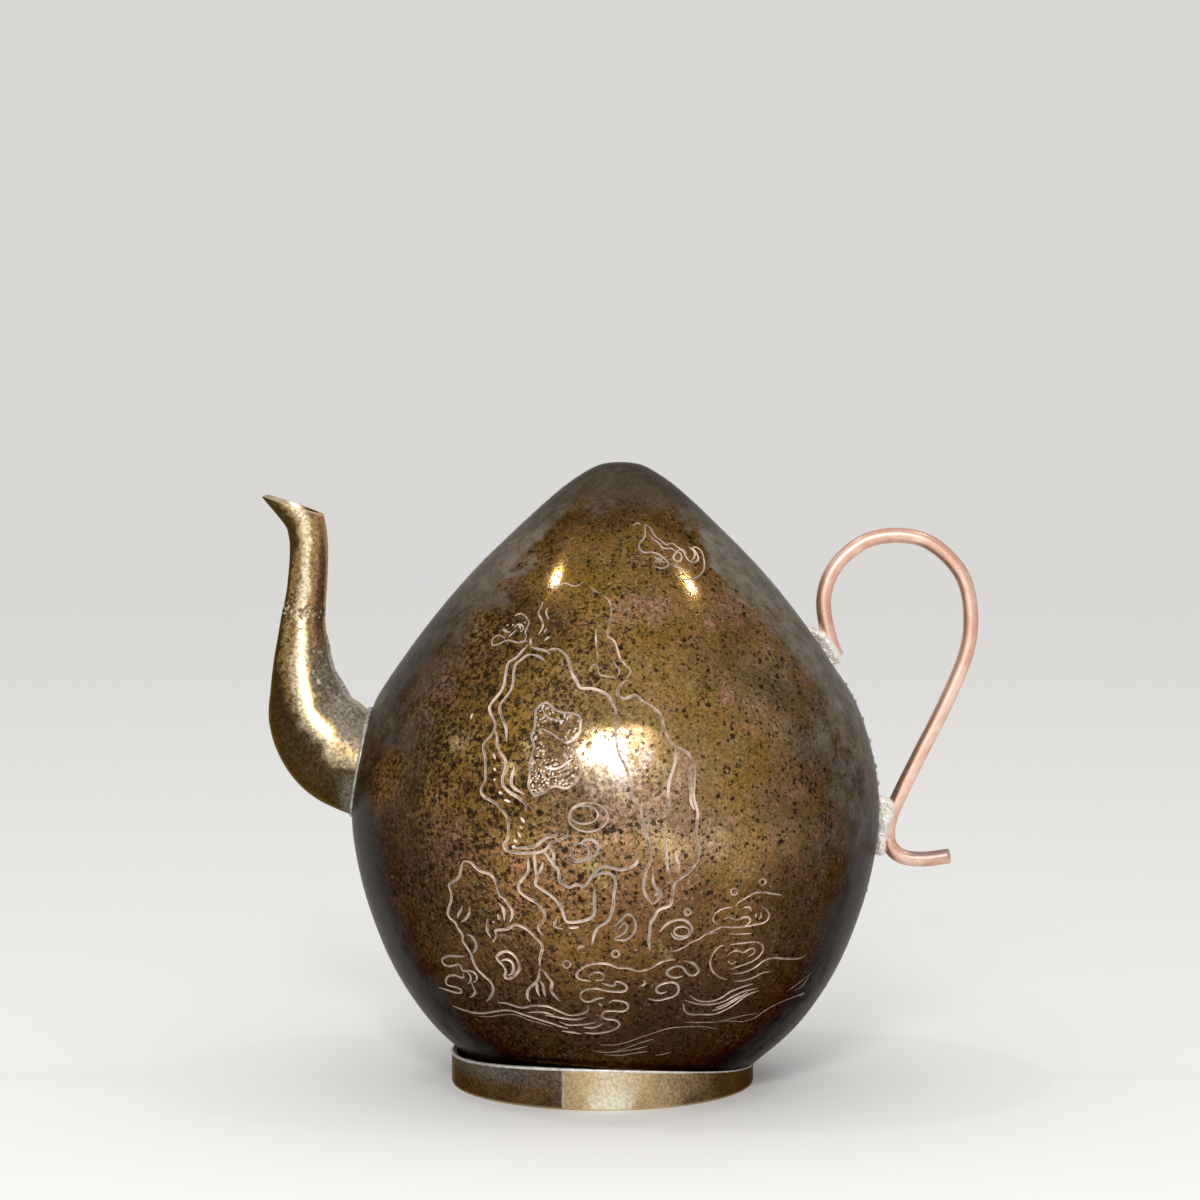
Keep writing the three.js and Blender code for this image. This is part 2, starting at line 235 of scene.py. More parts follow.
def loft(name, rings, closed=False):
    rings = [np.asarray(r, float) for r in rings]
    around = len(rings[0])
    corners = np.vstack(rings)
    faces = []
    for i in range(len(rings) if closed else len(rings) - 1):
        j = (i + 1) % len(rings)
        for k in range(around):
            m = (k + 1) % around
            faces.append((i * around + k, i * around + m, j * around + m, j * around + k))
    if not closed:
        faces.append(tuple(range(around))[::-1])
        faces.append(tuple((len(rings) - 1) * around + k for k in range(around)))
    thing = makeObject(name, corners, faces)
    fixFacing(thing)
    return thing


def tubeRings(line, radii, sides, flat=1.0, up=(0, 1, 0), closed=False):
    rings = []
    for spot, ahead, radius in zip(line, unit(directions(line, closed)), radii):
        side = np.cross(up, ahead)
        side /= np.linalg.norm(side)
        other = np.cross(ahead, side)
        turn = fullTurn(sides)[:, None]
        rings.append(spot + radius * (np.cos(turn) * side + np.sin(turn) * other * flat))
    return rings


def applied(thing):
    bpy.context.view_layer.update()
    shown = thing.evaluated_get(bpy.context.evaluated_depsgraph_get())
    mesh = bpy.data.meshes.new_from_object(shown)
    mesh.name = thing.name
    thing.modifiers.clear()
    thing.data = mesh
    return thing


def carve(thing, tools, keep=False):
    for tool in tools:
        change = thing.modifiers.new("carve", "BOOLEAN")
        change.operation = "DIFFERENCE"
        change.solver = "MANIFOLD"
        change.object = tool
        change.material_mode = "TRANSFER"
    applied(thing)
    if not keep:
        for tool in tools:
            bpy.data.objects.remove(tool)
    return thing


def shadeSmooth(thing, angle=35):
    thing.data.shade_smooth()
    thing.data.set_sharp_from_angle(angle=math.radians(angle))
    return thing


def roughen(thing, amount, size, seed=0):
    mesh = thing.data
    spots = gathered(mesh.vertices, "co", 3)
    normals = np.array([v.normal[:] for v in mesh.vertices])
    shift = Vector((seed * 3.7, seed * 1.9, seed * 5.3))
    lifts = [noise.fractal(Vector(s / mm / size) + shift, 1.0, 2.0, 3) for s in spots]
    spots += normals * (np.array(lifts)[:, None] * amount * mm)
    mesh.vertices.foreach_set("co", spots.ravel())
    mesh.update()
    return thing


def finishPiece(thing, material, slot, *nodes):
    if material is not None:
        thing.data.materials.clear()
        thing.data.materials.append(material)
    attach(thing, "root")
    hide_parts(*nodes)
    return thing


# Shader nodes

groups = {}


class Net:  # the nodes of one material or group, with short ways to add to them
    def __init__(self, tree):
        self.tree = tree

    def join(self, value, socket):
        if isinstance(value, bpy.types.NodeSocket):
            self.tree.links.new(value, socket)
        else:
            socket.default_value = (*value, 1) if socket.type == "RGBA" else value

    def put(self, kind, inputs=None, **settings):
        made = self.tree.nodes.new("ShaderNode" + kind)
        for key, value in settings.items():
            setattr(made, key, value)
        for key, value in (inputs or {}).items():
            self.join(value, made.inputs[key])
        return made

    def blend(self, share, first, second, how="MIX"):
        inputs = {0: share, 6: first, 7: second}
        return self.put("Mix", inputs, data_type="RGBA", blend_type=how).outputs[2]

    def shaded(self, colour, shade):
        grey = self.put("CombineColor", {0: shade, 1: shade, 2: shade}).outputs[0]
        return self.blend(1.0, colour, grey, how="MULTIPLY")

    def figure(self, how, first, second=0.0):
        return self.put("Math", {0: first, 1: second}, operation=how).outputs[0]

    def plus(self, first, second):
        return self.figure("ADD", first, second)

    def minus(self, first, second):
        return self.figure("SUBTRACT", first, second)

    def times(self, first, second):
        return self.figure("MULTIPLY", first, second)

    def over(self, first, second):
        return self.figure("DIVIDE", first, second)

    def most(self, first, second):
        return self.figure("MAXIMUM", first, second)

    def size(self, value):
        return self.figure("ABSOLUTE", value)

    def vector(self, how, first, second=(0, 0, 0)):
        return self.put("VectorMath", {0: first, 1: second}, operation=how).outputs

    def ramp(self, value, start, end, low=0.0, high=1.0):
        inputs = {"Value": value, "From Min": start, "From Max": end, "To Min": low, "To Max": high}
        made = self.put("MapRange", inputs, interpolation_type="SMOOTHSTEP")
        return made.outputs["Result"]

    def share(self, mask, low, high):  # low where the mask is 0, high where it is 1
        return self.ramp(mask, 0.0, 1.0, low, high)

    def spots(self):
        return self.put("TexCoord").outputs["Object"]

    def axes(self):
        return self.put("SeparateXYZ", {0: self.spots()}).outputs

    def placed(self, seed):
        shift = self.put("CombineXYZ", {"X": seed, "Y": seed, "Z": seed}).outputs[0]
        return self.vector("ADD", self.spots(), shift)[0]

    def mask(self, name, **values):
        made = self.tree.nodes.new("ShaderNodeGroup")
        made.node_tree = groups[name]
        for key, value in values.items():
            self.join(value, made.inputs[key.capitalize()])
        return made.outputs[0]

    def clouds(self, size, low, high, seed=0.0, detail=6.0):
        return self.mask("clouds", size=size, low=low, high=high, seed=seed, detail=detail)

    def specks(self, size, amount, seed=0.0):
        return self.mask("darkSpecks", size=size, amount=amount, seed=seed)

    def pits(self, size, amount, seed):
        return self.mask("darkPits", size=size, amount=amount, seed=seed)

    def scratches(self, length, width, amount):
        return self.mask("fineScratches", length=length, width=width, amount=amount)

    def spot(self, x, z, reach):
        return self.mask("raggedSpot", x=x, z=z, reach=reach)

    def coat(self, shader, height, strength, distance, **values):
        inputs = {"Height": height, "Strength": strength, "Distance": distance * mm}
        values["Normal"] = self.put("Bump", inputs).outputs["Normal"]
        for key, value in values.items():
            self.join(value, shader.inputs[key.replace("_", " ")])


def newGroup(name, **inputs):
    tree = bpy.data.node_groups.new(name, "ShaderNodeTree")
    groups[name] = tree
    for label, value in inputs.items():
        socket = tree.interface.new_socket(label, in_out="INPUT", socket_type="NodeSocketFloat")
        socket.default_value = value
    tree.interface.new_socket("Mask", in_out="OUTPUT", socket_type="NodeSocketFloat")
    return Net(tree), tree.nodes.new("NodeGroupInput").outputs, tree.nodes.new("NodeGroupOutput").inputs[0]


def specksGroup():  # a dense mottle of dark spots that run together
    net, given, out = newGroup("darkSpecks", Size=0.9, Amount=0.5, Seed=0.0)
    spots = net.placed(given["Seed"])
    cells = net.over(1000.0, given["Size"])
    grain = net.put("TexNoise", {"Vector": spots, "Scale": cells, "Detail": 3.0, "Roughness": 0.6})
    crowd = net.put("TexNoise", {"Vector": spots, "Scale": 130.0, "Detail": 3.0})
    extra = net.times(net.minus(0.5, crowd.outputs["Fac"]), 0.3)
    start = net.plus(net.share(given["Amount"], 0.72, 0.46), extra)
    full = net.plus(start, 0.09)
    net.join(net.ramp(grain.outputs["Fac"], start, full), out)


def pitsGroup():  # single round pits of mixed size
    net, given, out = newGroup("darkPits", Size=1.4, Amount=0.5, Seed=0.0)
    spots = net.placed(given["Seed"])
    cells = net.over(1000.0, given["Size"])
    drift = net.put("TexNoise", {"Vector": spots, "Scale": 2400.0, "Detail": 3.0})
    spread = net.put("VectorMath", {0: drift.outputs["Color"], "Scale": 0.0011}, operation="SCALE")
    moved = net.vector("ADD", spots, spread.outputs[0])[0]
    dots = net.put("TexVoronoi", {"Vector": moved, "Scale": cells})
    chance = net.put("SeparateColor", {0: dots.outputs["Color"]}).outputs[0]
    reach = net.times(net.figure("POWER", chance, 2.5), given["Amount"])
    mask = net.ramp(dots.outputs["Distance"], net.plus(reach, 0.02), net.times(reach, 0.75))
    net.join(mask, out)


def cloudsGroup():
    net, given, out = newGroup("clouds", Size=12.0, Low=0.4, High=0.6, Seed=0.0, Detail=6.0)
    spots = net.placed(given["Seed"])
    cells = net.over(1000.0, given["Size"])
    inputs = {"Vector": spots, "Scale": cells, "Detail": given["Detail"], "Roughness": 0.62}
    tone = net.put("TexNoise", inputs).outputs["Fac"]
    net.join(net.ramp(tone, given["Low"], given["High"]), out)


def scratchesGroup():
    net, given, out = newGroup("fineScratches", Length=6.0, Width=0.25, Amount=0.5, Seed=0.0)
    spots = net.placed(given["Seed"])
    long = net.over(1000.0, given["Length"])
    fine = net.over(1000.0, given["Width"])
    masks = []
    for turn in (0.5, -0.9):
        turned = net.put("VectorRotate", {"Vector": spots, "Angle": turn}, rotation_type="Y_AXIS")
        size = net.put("CombineXYZ", {"X": long, "Y": long, "Z": fine}).outputs[0]
        stretched = net.vector("MULTIPLY", turned.outputs[0], size)[0]
        lines = net.put("TexNoise", {"Vector": stretched, "Scale": 1.0, "Detail": 2.0})
        masks.append(net.ramp(lines.outputs["Fac"], 0.6, 0.72))
    both = net.most(masks[0], masks[1])
    net.join(net.times(both, given["Amount"]), out)


def spotGroup():  # a ragged spot round a place on the front
    net, given, out = newGroup("raggedSpot", X=0.0, Z=0.0, Reach=2.0)
    split = net.axes()
    away = []
    for axis in "XZ":
        place = net.times(given[axis], mm)
        away.append(net.minus(split[axis], place))
    flat = net.put("CombineXYZ", {"X": away[0], "Y": 0.0, "Z": away[1]}).outputs[0]
    reach = net.vector("LENGTH", flat)["Value"]
    size = net.times(given["Reach"], mm)
    share = net.over(reach, size)
    ragged = net.clouds(4.0, 0.25, 0.75, seed=0.62)
    share = net.plus(share, net.times(ragged, 0.7))
    front = net.ramp(split["Y"], -0.002, -0.01)
    net.join(net.times(net.ramp(share, 1.35, 0.5), front), out)


for makeGroup in (pitsGroup, specksGroup, cloudsGroup, spotGroup, scratchesGroup):
    makeGroup()


# Materials

def newMaterial(name, **values):
    material = bpy.data.materials.new(name)
    material.use_nodes = True
    net, shader = Net(material.node_tree), material.node_tree.nodes["Principled BSDF"]
    for key, value in values.items():
        net.join(value, shader.inputs[key.replace("_", " ")])
    return material, net, shader


bodyFinish = {
    "gold": (0.36, 0.217, 0.045),
    "brown": (0.25, 0.128, 0.056),
    "copper": (0.44, 0.25, 0.18),
    "worn": (0.62, 0.47, 0.2),
    # painted shade, laid on towards the sides and low down
    "deep": (0.042, 0.024, 0.011),
    "film": (0.2, 0.196, 0.186),
    "leftFilm": (0.1, 0.093, 0.083),
    "slopeFilm": (0.168, 0.155, 0.136),
    "haze": (0.5, 0.4, 0.32),
    "filmPaintedShade": (0.028, 0.021, 0.015),
    "pointFilm": (0.05, 0.042, 0.032),
    "pit": (0.016, 0.01, 0.006),
    "fleck": (0.64, 0.53, 0.37),
    "scratch": (0.5, 0.4, 0.3),
    "edgeTint": (0.25, 0.23, 0.21),
    "mottleDark": (0.66, 0.65, 0.62),  # these four tones are multiplied in
    "mottlePale": (1.28, 1.27, 1.25),
    "olive": (0.86, 0.86, 0.62),
    "rose": (1.16, 1.02, 1.12),
    "rootPatch": (0.21, 0.12, 0.048),
    "palePatch": (0.3, 0.26, 0.2),
    "rootPlace": (-37.5, 51.0, 7.0),  # x, z and reach in mm
    "palePlace": (-39.0, 61.0, 5.0),
    # painted highlight: pits are left out here, where the key highlight falls
    "highlightPlace": (-2.8, 54.8, 4.4),
    "litMiddle": (-0.002, 0.0, 0.056),  # painted light: the brass is painted brightest round here, with painted shade towards the sides and low down
    "litReach": (0.04, 10.0, 0.05),
    # x, z and reach in mm, share, colour
    "spots": [
        (-14, 75.5, 11.0, 0.95, (0.11, 0.06, 0.018)),
        # painted glow, salmon, to the lower right of the key highlight
        (5.5, 49.5, 8.5, 0.6, (0.6, 0.43, 0.33)),
        # painted highlight: a pale patch under the key highlight
        (-0.8, 55.2, 7.0, 0.82, (0.8, 0.71, 0.63)),
        # painted glow below the key highlight
        (-1.4, 47.6, 5.0, 0.55, (0.72, 0.52, 0.4)),
        # painted highlights: pale patches under the two small lamps' highlights
        (-10.3, 81.7, 1.6, 0.4, (0.7, 0.62, 0.45)),
        (11, 80.4, 1.8, 0.4, (0.7, 0.62, 0.45)),
        (-16.8, 54, 2.0, 0.85, (0.8, 0.62, 0.25)),
        (-14.3, 57.2, 1.4, 0.8, (0.75, 0.58, 0.25)),
        (16, 64.5, 2.4, 0.6, (0.6, 0.3, 0.25)),
        (22, 66, 6.5, 0.5, (0.3, 0.29, 0.22)),
        (13, 44, 5.0, 0.45, (0.6, 0.48, 0.32)),
    ],
}


def seamFilm(net, split):  # the smoky film that soldering left beside the seam
    flat = net.put("CombineXYZ", {"X": split["X"], "Y": split["Y"]}).outputs[0]
    reach = net.vector("LENGTH", flat)["Value"]
    aside = net.over(net.size(split["Y"]), reach)
    ragged = net.clouds(10.0, 0.3, 0.7, seed=0.5)
    aside = net.plus(aside, net.times(ragged, 0.2))
    small = net.clouds(3.4, 0.3, 0.7, seed=0.3)
    aside = net.plus(aside, net.times(small, 0.12))
    rise = net.plus(split["Z"], net.times(small, 0.0025))
    point = net.ramp(rise, 0.0925, 0.0962, 0.0, 0.9)
    full = net.ramp(split["Z"], 0.068, 0.084, 0.48, 0.8)  # its border is crisper high up
    return net.most(net.ramp(aside, 0.93, full), point)


def seamSmoke(net, split):  # the film's colour: pale high up, darker to the left, and nearly black low down, where painted shade darkens it
    right = net.ramp(split["X"], -0.02, 0.03)
    slope = net.ramp(split["Z"], 0.075, 0.084)
    smoke = net.blend(slope, bodyFinish["leftFilm"], bodyFinish["slopeFilm"])
    smoke = net.blend(right, smoke, bodyFinish["film"])
    height = net.plus(split["Z"], net.times(right, 0.012))
    point = net.ramp(split["Z"], 0.087, 0.095, 0.0, 0.85)
    smoke = net.blend(point, smoke, bodyFinish["pointFilm"])
    # painted shade: the film goes nearly black low down
    smoke = net.blend(net.ramp(height, 0.04, 0.076), bodyFinish["filmPaintedShade"], smoke)
    mottle = net.clouds(2.4, 0.3, 0.7, seed=0.65)
    tone = net.blend(mottle, bodyFinish["mottleDark"], bodyFinish["mottlePale"])
    return net.blend(1.0, smoke, tone, how="MULTIPLY")


def paintedLightShare(net):  # painted light and shade: falls from 1 in the middle of each face to 0 at its sides and low down
    away = net.vector("SUBTRACT", net.spots(), bodyFinish["litMiddle"])[0]
    scaled = net.vector("DIVIDE", away, bodyFinish["litReach"])[0]
    reach = net.vector("LENGTH", scaled)["Value"]
    uneven = net.clouds(15.0, 0.25, 0.75, seed=0.15)
    return net.ramp(net.plus(reach, net.times(uneven, 0.3)), 1.2, 0.35)


def bodyBrass():
    material, net, shader = newMaterial("bodyBrass", Specular_Tint=bodyFinish["edgeTint"])
    split = net.axes()
    tone = net.clouds(24.0, 0.36, 0.64)
    # browner and darker lower down: partly patina, partly painted shade
    low = net.ramp(split["Z"], 0.072, 0.03)
    warm = net.times(net.plus(tone, low), 0.5)
    colour = net.blend(warm, bodyFinish["gold"], bodyFinish["brown"])
    patch = net.clouds(16.0, 0.53, 0.68, seed=0.7)
    grain = net.clouds(0.75, 0.3, 0.7, seed=0.3, detail=2.0)
    pink = net.times(patch, net.share(grain, 0.35, 0.9))
    colour = net.blend(pink, colour, bodyFinish["copper"])
    worn = net.clouds(9.0, 0.6, 0.7, seed=0.36)
    colour = net.blend(net.times(worn, 0.7), colour, bodyFinish["worn"])
    veil = net.clouds(12.0, 0.25, 0.7, seed=0.95)
    veil = net.times(veil, net.ramp(split["Z"], 0.078, 0.062, 0.0, 0.26))
    veil = net.times(veil, net.ramp(split["Z"], 0.034, 0.044))
    veil = net.times(veil, net.ramp(split["X"], -0.018, -0.009))
    colour = net.blend(veil, colour, bodyFinish["haze"])
    for x, z, reach, share, shown in bodyFinish["spots"]:
        mask = net.spot(x, z, reach)
        mask = net.times(mask, net.ramp(grain, 0.1, 0.9, share * 0.5, share))
        colour = net.blend(mask, colour, shown)
    wearAndLight = paintedLightShare(net)
    # painted shade: the brass darkens to deep towards the sides and low down
    colour = net.blend(net.share(wearAndLight, 0.93, 0.0), colour, bodyFinish["deep"])
    film = seamFilm(net, split)
    byRoot = net.spot(*bodyFinish["rootPlace"])
    film = net.times(film, net.share(byRoot, 1.0, 0.35))
    colour = net.blend(net.times(film, 0.85), colour, seamSmoke(net, split))
    colour = net.blend(net.times(byRoot, 0.8), colour, bodyFinish["rootPatch"])
    pale = net.spot(*bodyFinish["palePlace"])
    colour = net.blend(net.times(pale, 0.5), colour, bodyFinish["palePatch"])
    bare = net.ramp(film, 0.1, 0.9, 1.0, 0.3)
    stains = net.clouds(3.2, 0.3, 0.7, seed=0.55)
    hue = net.blend(stains, bodyFinish["olive"], bodyFinish["rose"])
    colour = net.blend(1.0, colour, hue, how="MULTIPLY")
    left = net.ramp(split["X"], 0.012, -0.014)  # the left is pitted far more than the right
    left = net.times(left, net.ramp(split["Z"], 0.024, 0.046, 0.5, 1.0))
    left = net.times(left, net.ramp(split["Z"], 0.085, 0.073, 0.3, 1.0))
    powder = net.clouds(0.42, 0.3, 0.7, seed=0.75, detail=2.0)
    coarse = net.times(net.minus(grain, 0.5), net.share(left, 0.4, 0.75))
    powdery = net.times(net.minus(powder, 0.5), 0.6)
    contrast = net.times(net.plus(coarse, powdery), bare)
    colour = net.shaded(colour, net.plus(1.0, contrast))
    flecks = net.specks(0.6, 0.46, seed=0.85)
    flecks = net.times(flecks, bare)
    flecks = net.times(flecks, net.share(wearAndLight, 0.12, 0.5))
    colour = net.blend(flecks, colour, bodyFinish["fleck"])
    fine = net.specks(0.64, net.share(left, 0.46, 0.7))
    larger = net.share(left, 0.42, 0.58)
    single = net.pits(1.2, larger, seed=0.2)
    crowd = net.share(left, 0.6, 0.92)
    small = net.pits(0.64, crowd, seed=0.45)
    single = net.most(single, net.times(small, 0.95))
    dark = net.most(net.times(fine, 0.9), single)
    dark = net.times(dark, bare)
    underHighlight = net.spot(*bodyFinish["highlightPlace"])  # pits left out under the key highlight, part of the painted highlight
    dark = net.times(dark, net.share(underHighlight, 1.0, 0.15))
    colour = net.blend(net.times(dark, 0.92), colour, bodyFinish["pit"])
    lines = net.scratches(7.0, 0.16, 0.25)
    colour = net.blend(net.times(lines, wearAndLight), colour, bodyFinish["scratch"])
    metal = net.minus(0.97, net.times(film, 0.35))
    rough = net.plus(net.share(dark, 0.11, 0.3), net.times(film, 0.2))
    relief = net.minus(net.times(grain, 0.25), dark)
    net.coat(shader, relief, 0.06, 0.03, Base_Color=colour, Metallic=metal, Roughness=rough)
    return material


grooveFinish = {
    "cool": (0.38, 0.36, 0.33),
    "dull": (0.16, 0.13, 0.1),
}


def groove(name, dark, pale, bright):  # painted shade: darker towards the sides and low down
    material, net, shader = newMaterial(name, Metallic=0.45, Roughness=0.5)
    tone = net.clouds(1.1, 0.3, 0.7, seed=0.4)
    colour = net.blend(tone, dark, pale)
    bare = net.clouds(4.0, 0.46, 0.64, seed=0.15)
    colour = net.blend(net.times(bare, 0.8), colour, bright)
    cool = net.clouds(14.0, 0.45, 0.65, seed=0.9)
    colour = net.blend(net.times(cool, 0.45), colour, grooveFinish["cool"])
    split = net.axes()
    # painted shade towards the sides and low down, as on the body
    dull = net.ramp(net.size(split["X"]), 0.016, 0.034)
    dull = net.most(dull, net.ramp(split["Z"], 0.03, 0.008))
    colour = net.blend(net.times(dull, 0.65), colour, grooveFinish["dull"])
    net.coat(shader, tone, 0.4, 0.05, Base_Color=colour)
    return material


# the slanted mouth of the spout: x and z of its middle, degrees down to the right and to the front
mouth = {"at": (-52.7, 93.2), "slope": 18.4, "forward": 2.8}

spoutFinish = {
    "tint": (0.6, 0.5, 0.35),
    "pale": (0.42, 0.28, 0.1),
    "warm": (0.25, 0.15, 0.055),
    "bandHighlight": (0.93, 0.8, 0.55),
    "shadow": (0.045, 0.026, 0.009),
    "copper": (0.44, 0.235, 0.14),
    "leftSmoke": (0.1, 0.09, 0.07),
    "rightSmoke": (0.19, 0.175, 0.15),
    "speck": (0.04, 0.025, 0.012),
    "crust": (0.72, 0.66, 0.6),
    "edge": (0.66, 0.56, 0.42),
    "lip": (0.85, 0.7, 0.48),
    "scratch": (0.8, 0.66, 0.42),
}


def brightBrass():
    material, net, shader = newMaterial("brightBrass", Specular_Tint=spoutFinish["tint"])
    split = net.axes()
    along, height = split["X"], split["Z"]
    tone = net.clouds(9.0, 0.35, 0.65)
    colour = net.blend(tone, spoutFinish["pale"], spoutFinish["warm"])
    side = net.put("Attribute", attribute_name="innerSide").outputs["Fac"]
    uneven = net.clouds(4.0, 0.3, 0.65, seed=0.5)
    spread = net.plus(side, net.times(uneven, 0.25))
    # painted highlight: a bright band down the middle of the tube, where the key lamp reflects
    band = net.ramp(net.size(net.minus(spread, 0.12)), 0.38, 0.08)
    band = net.times(band, net.ramp(height, 0.066, 0.078, 0.55, 0.8))
    colour = net.blend(band, colour, spoutFinish["bandHighlight"])
    # below and at the tip the dark side comes nearly to the middle
    low = net.ramp(height, 0.07, 0.055, -0.45, 0.3)
    low = net.most(low, net.ramp(height, 0.081, 0.088, -0.5, -0.12))
    past = net.minus(low, spread)
    colour = net.blend(net.ramp(past, 0.0, 0.35, 0.0, 0.94), colour, spoutFinish["shadow"])
    colour = net.blend(net.ramp(spread, 0.45, 0.75, 0.0, 0.75), colour, spoutFinish["copper"])
    film = net.times(net.ramp(spread, 0.38, 0.62), net.ramp(height, 0.074, 0.067))
    under = net.times(net.ramp(along, -0.0458, -0.0435), net.ramp(height, 0.0515, 0.048))
    film = net.most(film, net.times(under, 0.8))
    smoke = net.blend(net.ramp(along, -0.0485, -0.044), spoutFinish["leftSmoke"], spoutFinish["rightSmoke"])
    colour = net.blend(net.times(film, 0.9), colour, smoke)
    grain = net.clouds(0.5, 0.3, 0.7, seed=0.3, detail=2.0)
    colour = net.shaded(colour, net.share(grain, 0.6, 1.3))
    fine = net.specks(0.6, net.ramp(spread, 0.3, -0.5, 0.34, 0.66))
    offJoint = net.size(net.minus(height, 0.0758))
    burnt = net.specks(1.4, 0.75, seed=0.33)
    burnt = net.times(burnt, net.ramp(offJoint, 0.0022, 0.0008))
    # fewer specks in the painted highlight band
    fine = net.times(fine, net.ramp(band, 0.2, 0.75, 1.0, 0.3))
    fine = net.times(fine, net.ramp(film, 0.3, 0.9, 1.0, 0.5))
    dark = net.most(fine, burnt)
    colour = net.blend(net.times(dark, 0.85), colour, spoutFinish["speck"])
    crust = net.specks(0.9, 0.55, seed=0.77)
    crust = net.times(net.times(crust, film), net.ramp(height, 0.056, 0.068))
    colour = net.blend(net.times(crust, 0.8), colour, spoutFinish["crust"])
    # painted highlight: a thin pale line along the side facing the body
    edge = net.times(net.ramp(side, 0.92, 0.985), 0.6)
    colour = net.blend(edge, colour, spoutFinish["edge"])
    steep = math.tan(math.radians(mouth["slope"]))  # the lip is painted bright, a painted highlight along it
    rise = net.plus(height, net.times(along, steep))
    level = (mouth["at"][1] + steep * mouth["at"][0]) * mm
    lip = net.times(net.ramp(rise, level - 0.00045, level - 0.0002), 0.65)
    colour = net.blend(lip, colour, spoutFinish["lip"])
    wearAndLight = net.scratches(4.0, 0.2, 0.3)
    wearAndLight = net.times(wearAndLight, net.ramp(past, 0.3, 0.0, 0.2, 1.0))
    colour = net.blend(wearAndLight, colour, spoutFinish["scratch"])
    metal = net.minus(0.95, net.times(film, 0.6))
    rough = net.plus(net.share(dark, 0.31, 0.5), net.times(film, 0.15))
    relief = net.minus(grain, dark)
    net.coat(shader, relief, 0.2, 0.035, Base_Color=colour, Metallic=metal, Roughness=rough)
    return material


footFinish = {
    "tint": (0.45, 0.38, 0.28),
    "pale": (0.125, 0.068, 0.024),
    "brown": (0.072, 0.038, 0.013),
    "gleam": (0.8, 0.6, 0.33),
    "bright": (1.0, 0.94, 0.74),
    "right": (0.085, 0.048, 0.018),
    "smoke": (0.13, 0.12, 0.105),
    "byJoint": (0.16, 0.14, 0.12),
    "speck": (0.05, 0.035, 0.02),
    "scratch": (0.5, 0.42, 0.3),
    "edge": (0.7, 0.56, 0.32),
}


def footBrass():
    material, net, shader = newMaterial("footBrass", Metallic=0.95, Specular_Tint=footFinish["tint"])
    split = net.axes()
    tone = net.clouds(7.0, 0.35, 0.65, seed=0.1)
    colour = net.blend(tone, footFinish["pale"], footFinish["brown"])
    facing = net.ramp(split["Y"], -0.01, -0.02)
    rightOfJoint = net.times(net.ramp(split["X"], -0.0094, -0.0091), facing)  # to the right of the joint
    off = net.size(net.plus(split["X"], 0.0022))
    off = net.plus(off, net.times(tone, 0.003))
    # painted highlight: a wide gleam and a bright core on the front, right of the joint, where the key lamp
    # reflects
    wide = net.times(net.ramp(off, 0.019, 0.004, 0.0, 0.75), rightOfJoint)
    colour = net.blend(wide, colour, footFinish["gleam"])
    bright = net.times(net.ramp(off, 0.007, 0.002), rightOfJoint)
    bright = net.times(bright, net.ramp(split["Z"], 0.0045, 0.0008, 0.4, 1.0))
    colour = net.blend(bright, colour, footFinish["bright"])
    # painted shade: darker towards the right
    right = net.ramp(split["X"], 0.011, 0.021, 0.0, 0.6)
    colour = net.blend(right, colour, footFinish["right"])
    smoke = net.times(net.ramp(split["X"], -0.004, -0.02), net.ramp(split["Z"], 0.002, 0.0045))
    colour = net.blend(net.times(smoke, 0.75), colour, footFinish["smoke"])
    beside = net.times(net.ramp(split["X"], -0.0112, -0.0102), net.ramp(split["X"], -0.0088, -0.0092))
    beside = net.times(beside, facing)
    colour = net.blend(net.times(beside, 0.3), colour, footFinish["byJoint"])
    grain = net.clouds(0.42, 0.3, 0.7, seed=0.5, detail=2.0)
    uneven = net.minus(net.share(grain, 0.6, 1.35), 1.0)
    # less grain under the painted highlight
    uneven = net.times(uneven, net.ramp(wide, 0.2, 0.75, 1.0, 0.45))
    colour = net.shaded(colour, net.plus(uneven, 1.0))
    dark = net.specks(0.6, 0.45, seed=0.6)
    # fewer specks under the painted highlight
    dark = net.times(dark, net.ramp(wide, 0.2, 0.75, 0.8, 0.25))
    colour = net.blend(dark, colour, footFinish["speck"])
    wearAndLight = net.scratches(5.0, 0.18, 0.12)
    colour = net.blend(wearAndLight, colour, footFinish["scratch"])
    edge = net.ramp(split["Z"], 0.0005, 0.0001, 0.0, 0.6)
    colour = net.blend(edge, colour, footFinish["edge"])
    rough = net.share(tone, 0.28, 0.42)
    relief = net.minus(grain, dark)
    net.coat(shader, relief, 0.2, 0.035, Base_Color=colour, Roughness=rough)
    return material


wireFinish = {
    "tint": (0.7, 0.45, 0.36),
    "pale": (0.95, 0.68, 0.56),
    "deep": (0.74, 0.44, 0.33),
    "tarnish": (0.34, 0.25, 0.24),
    "speck": (0.26, 0.13, 0.09),
    "scratch": (0.95, 0.75, 0.62),
}


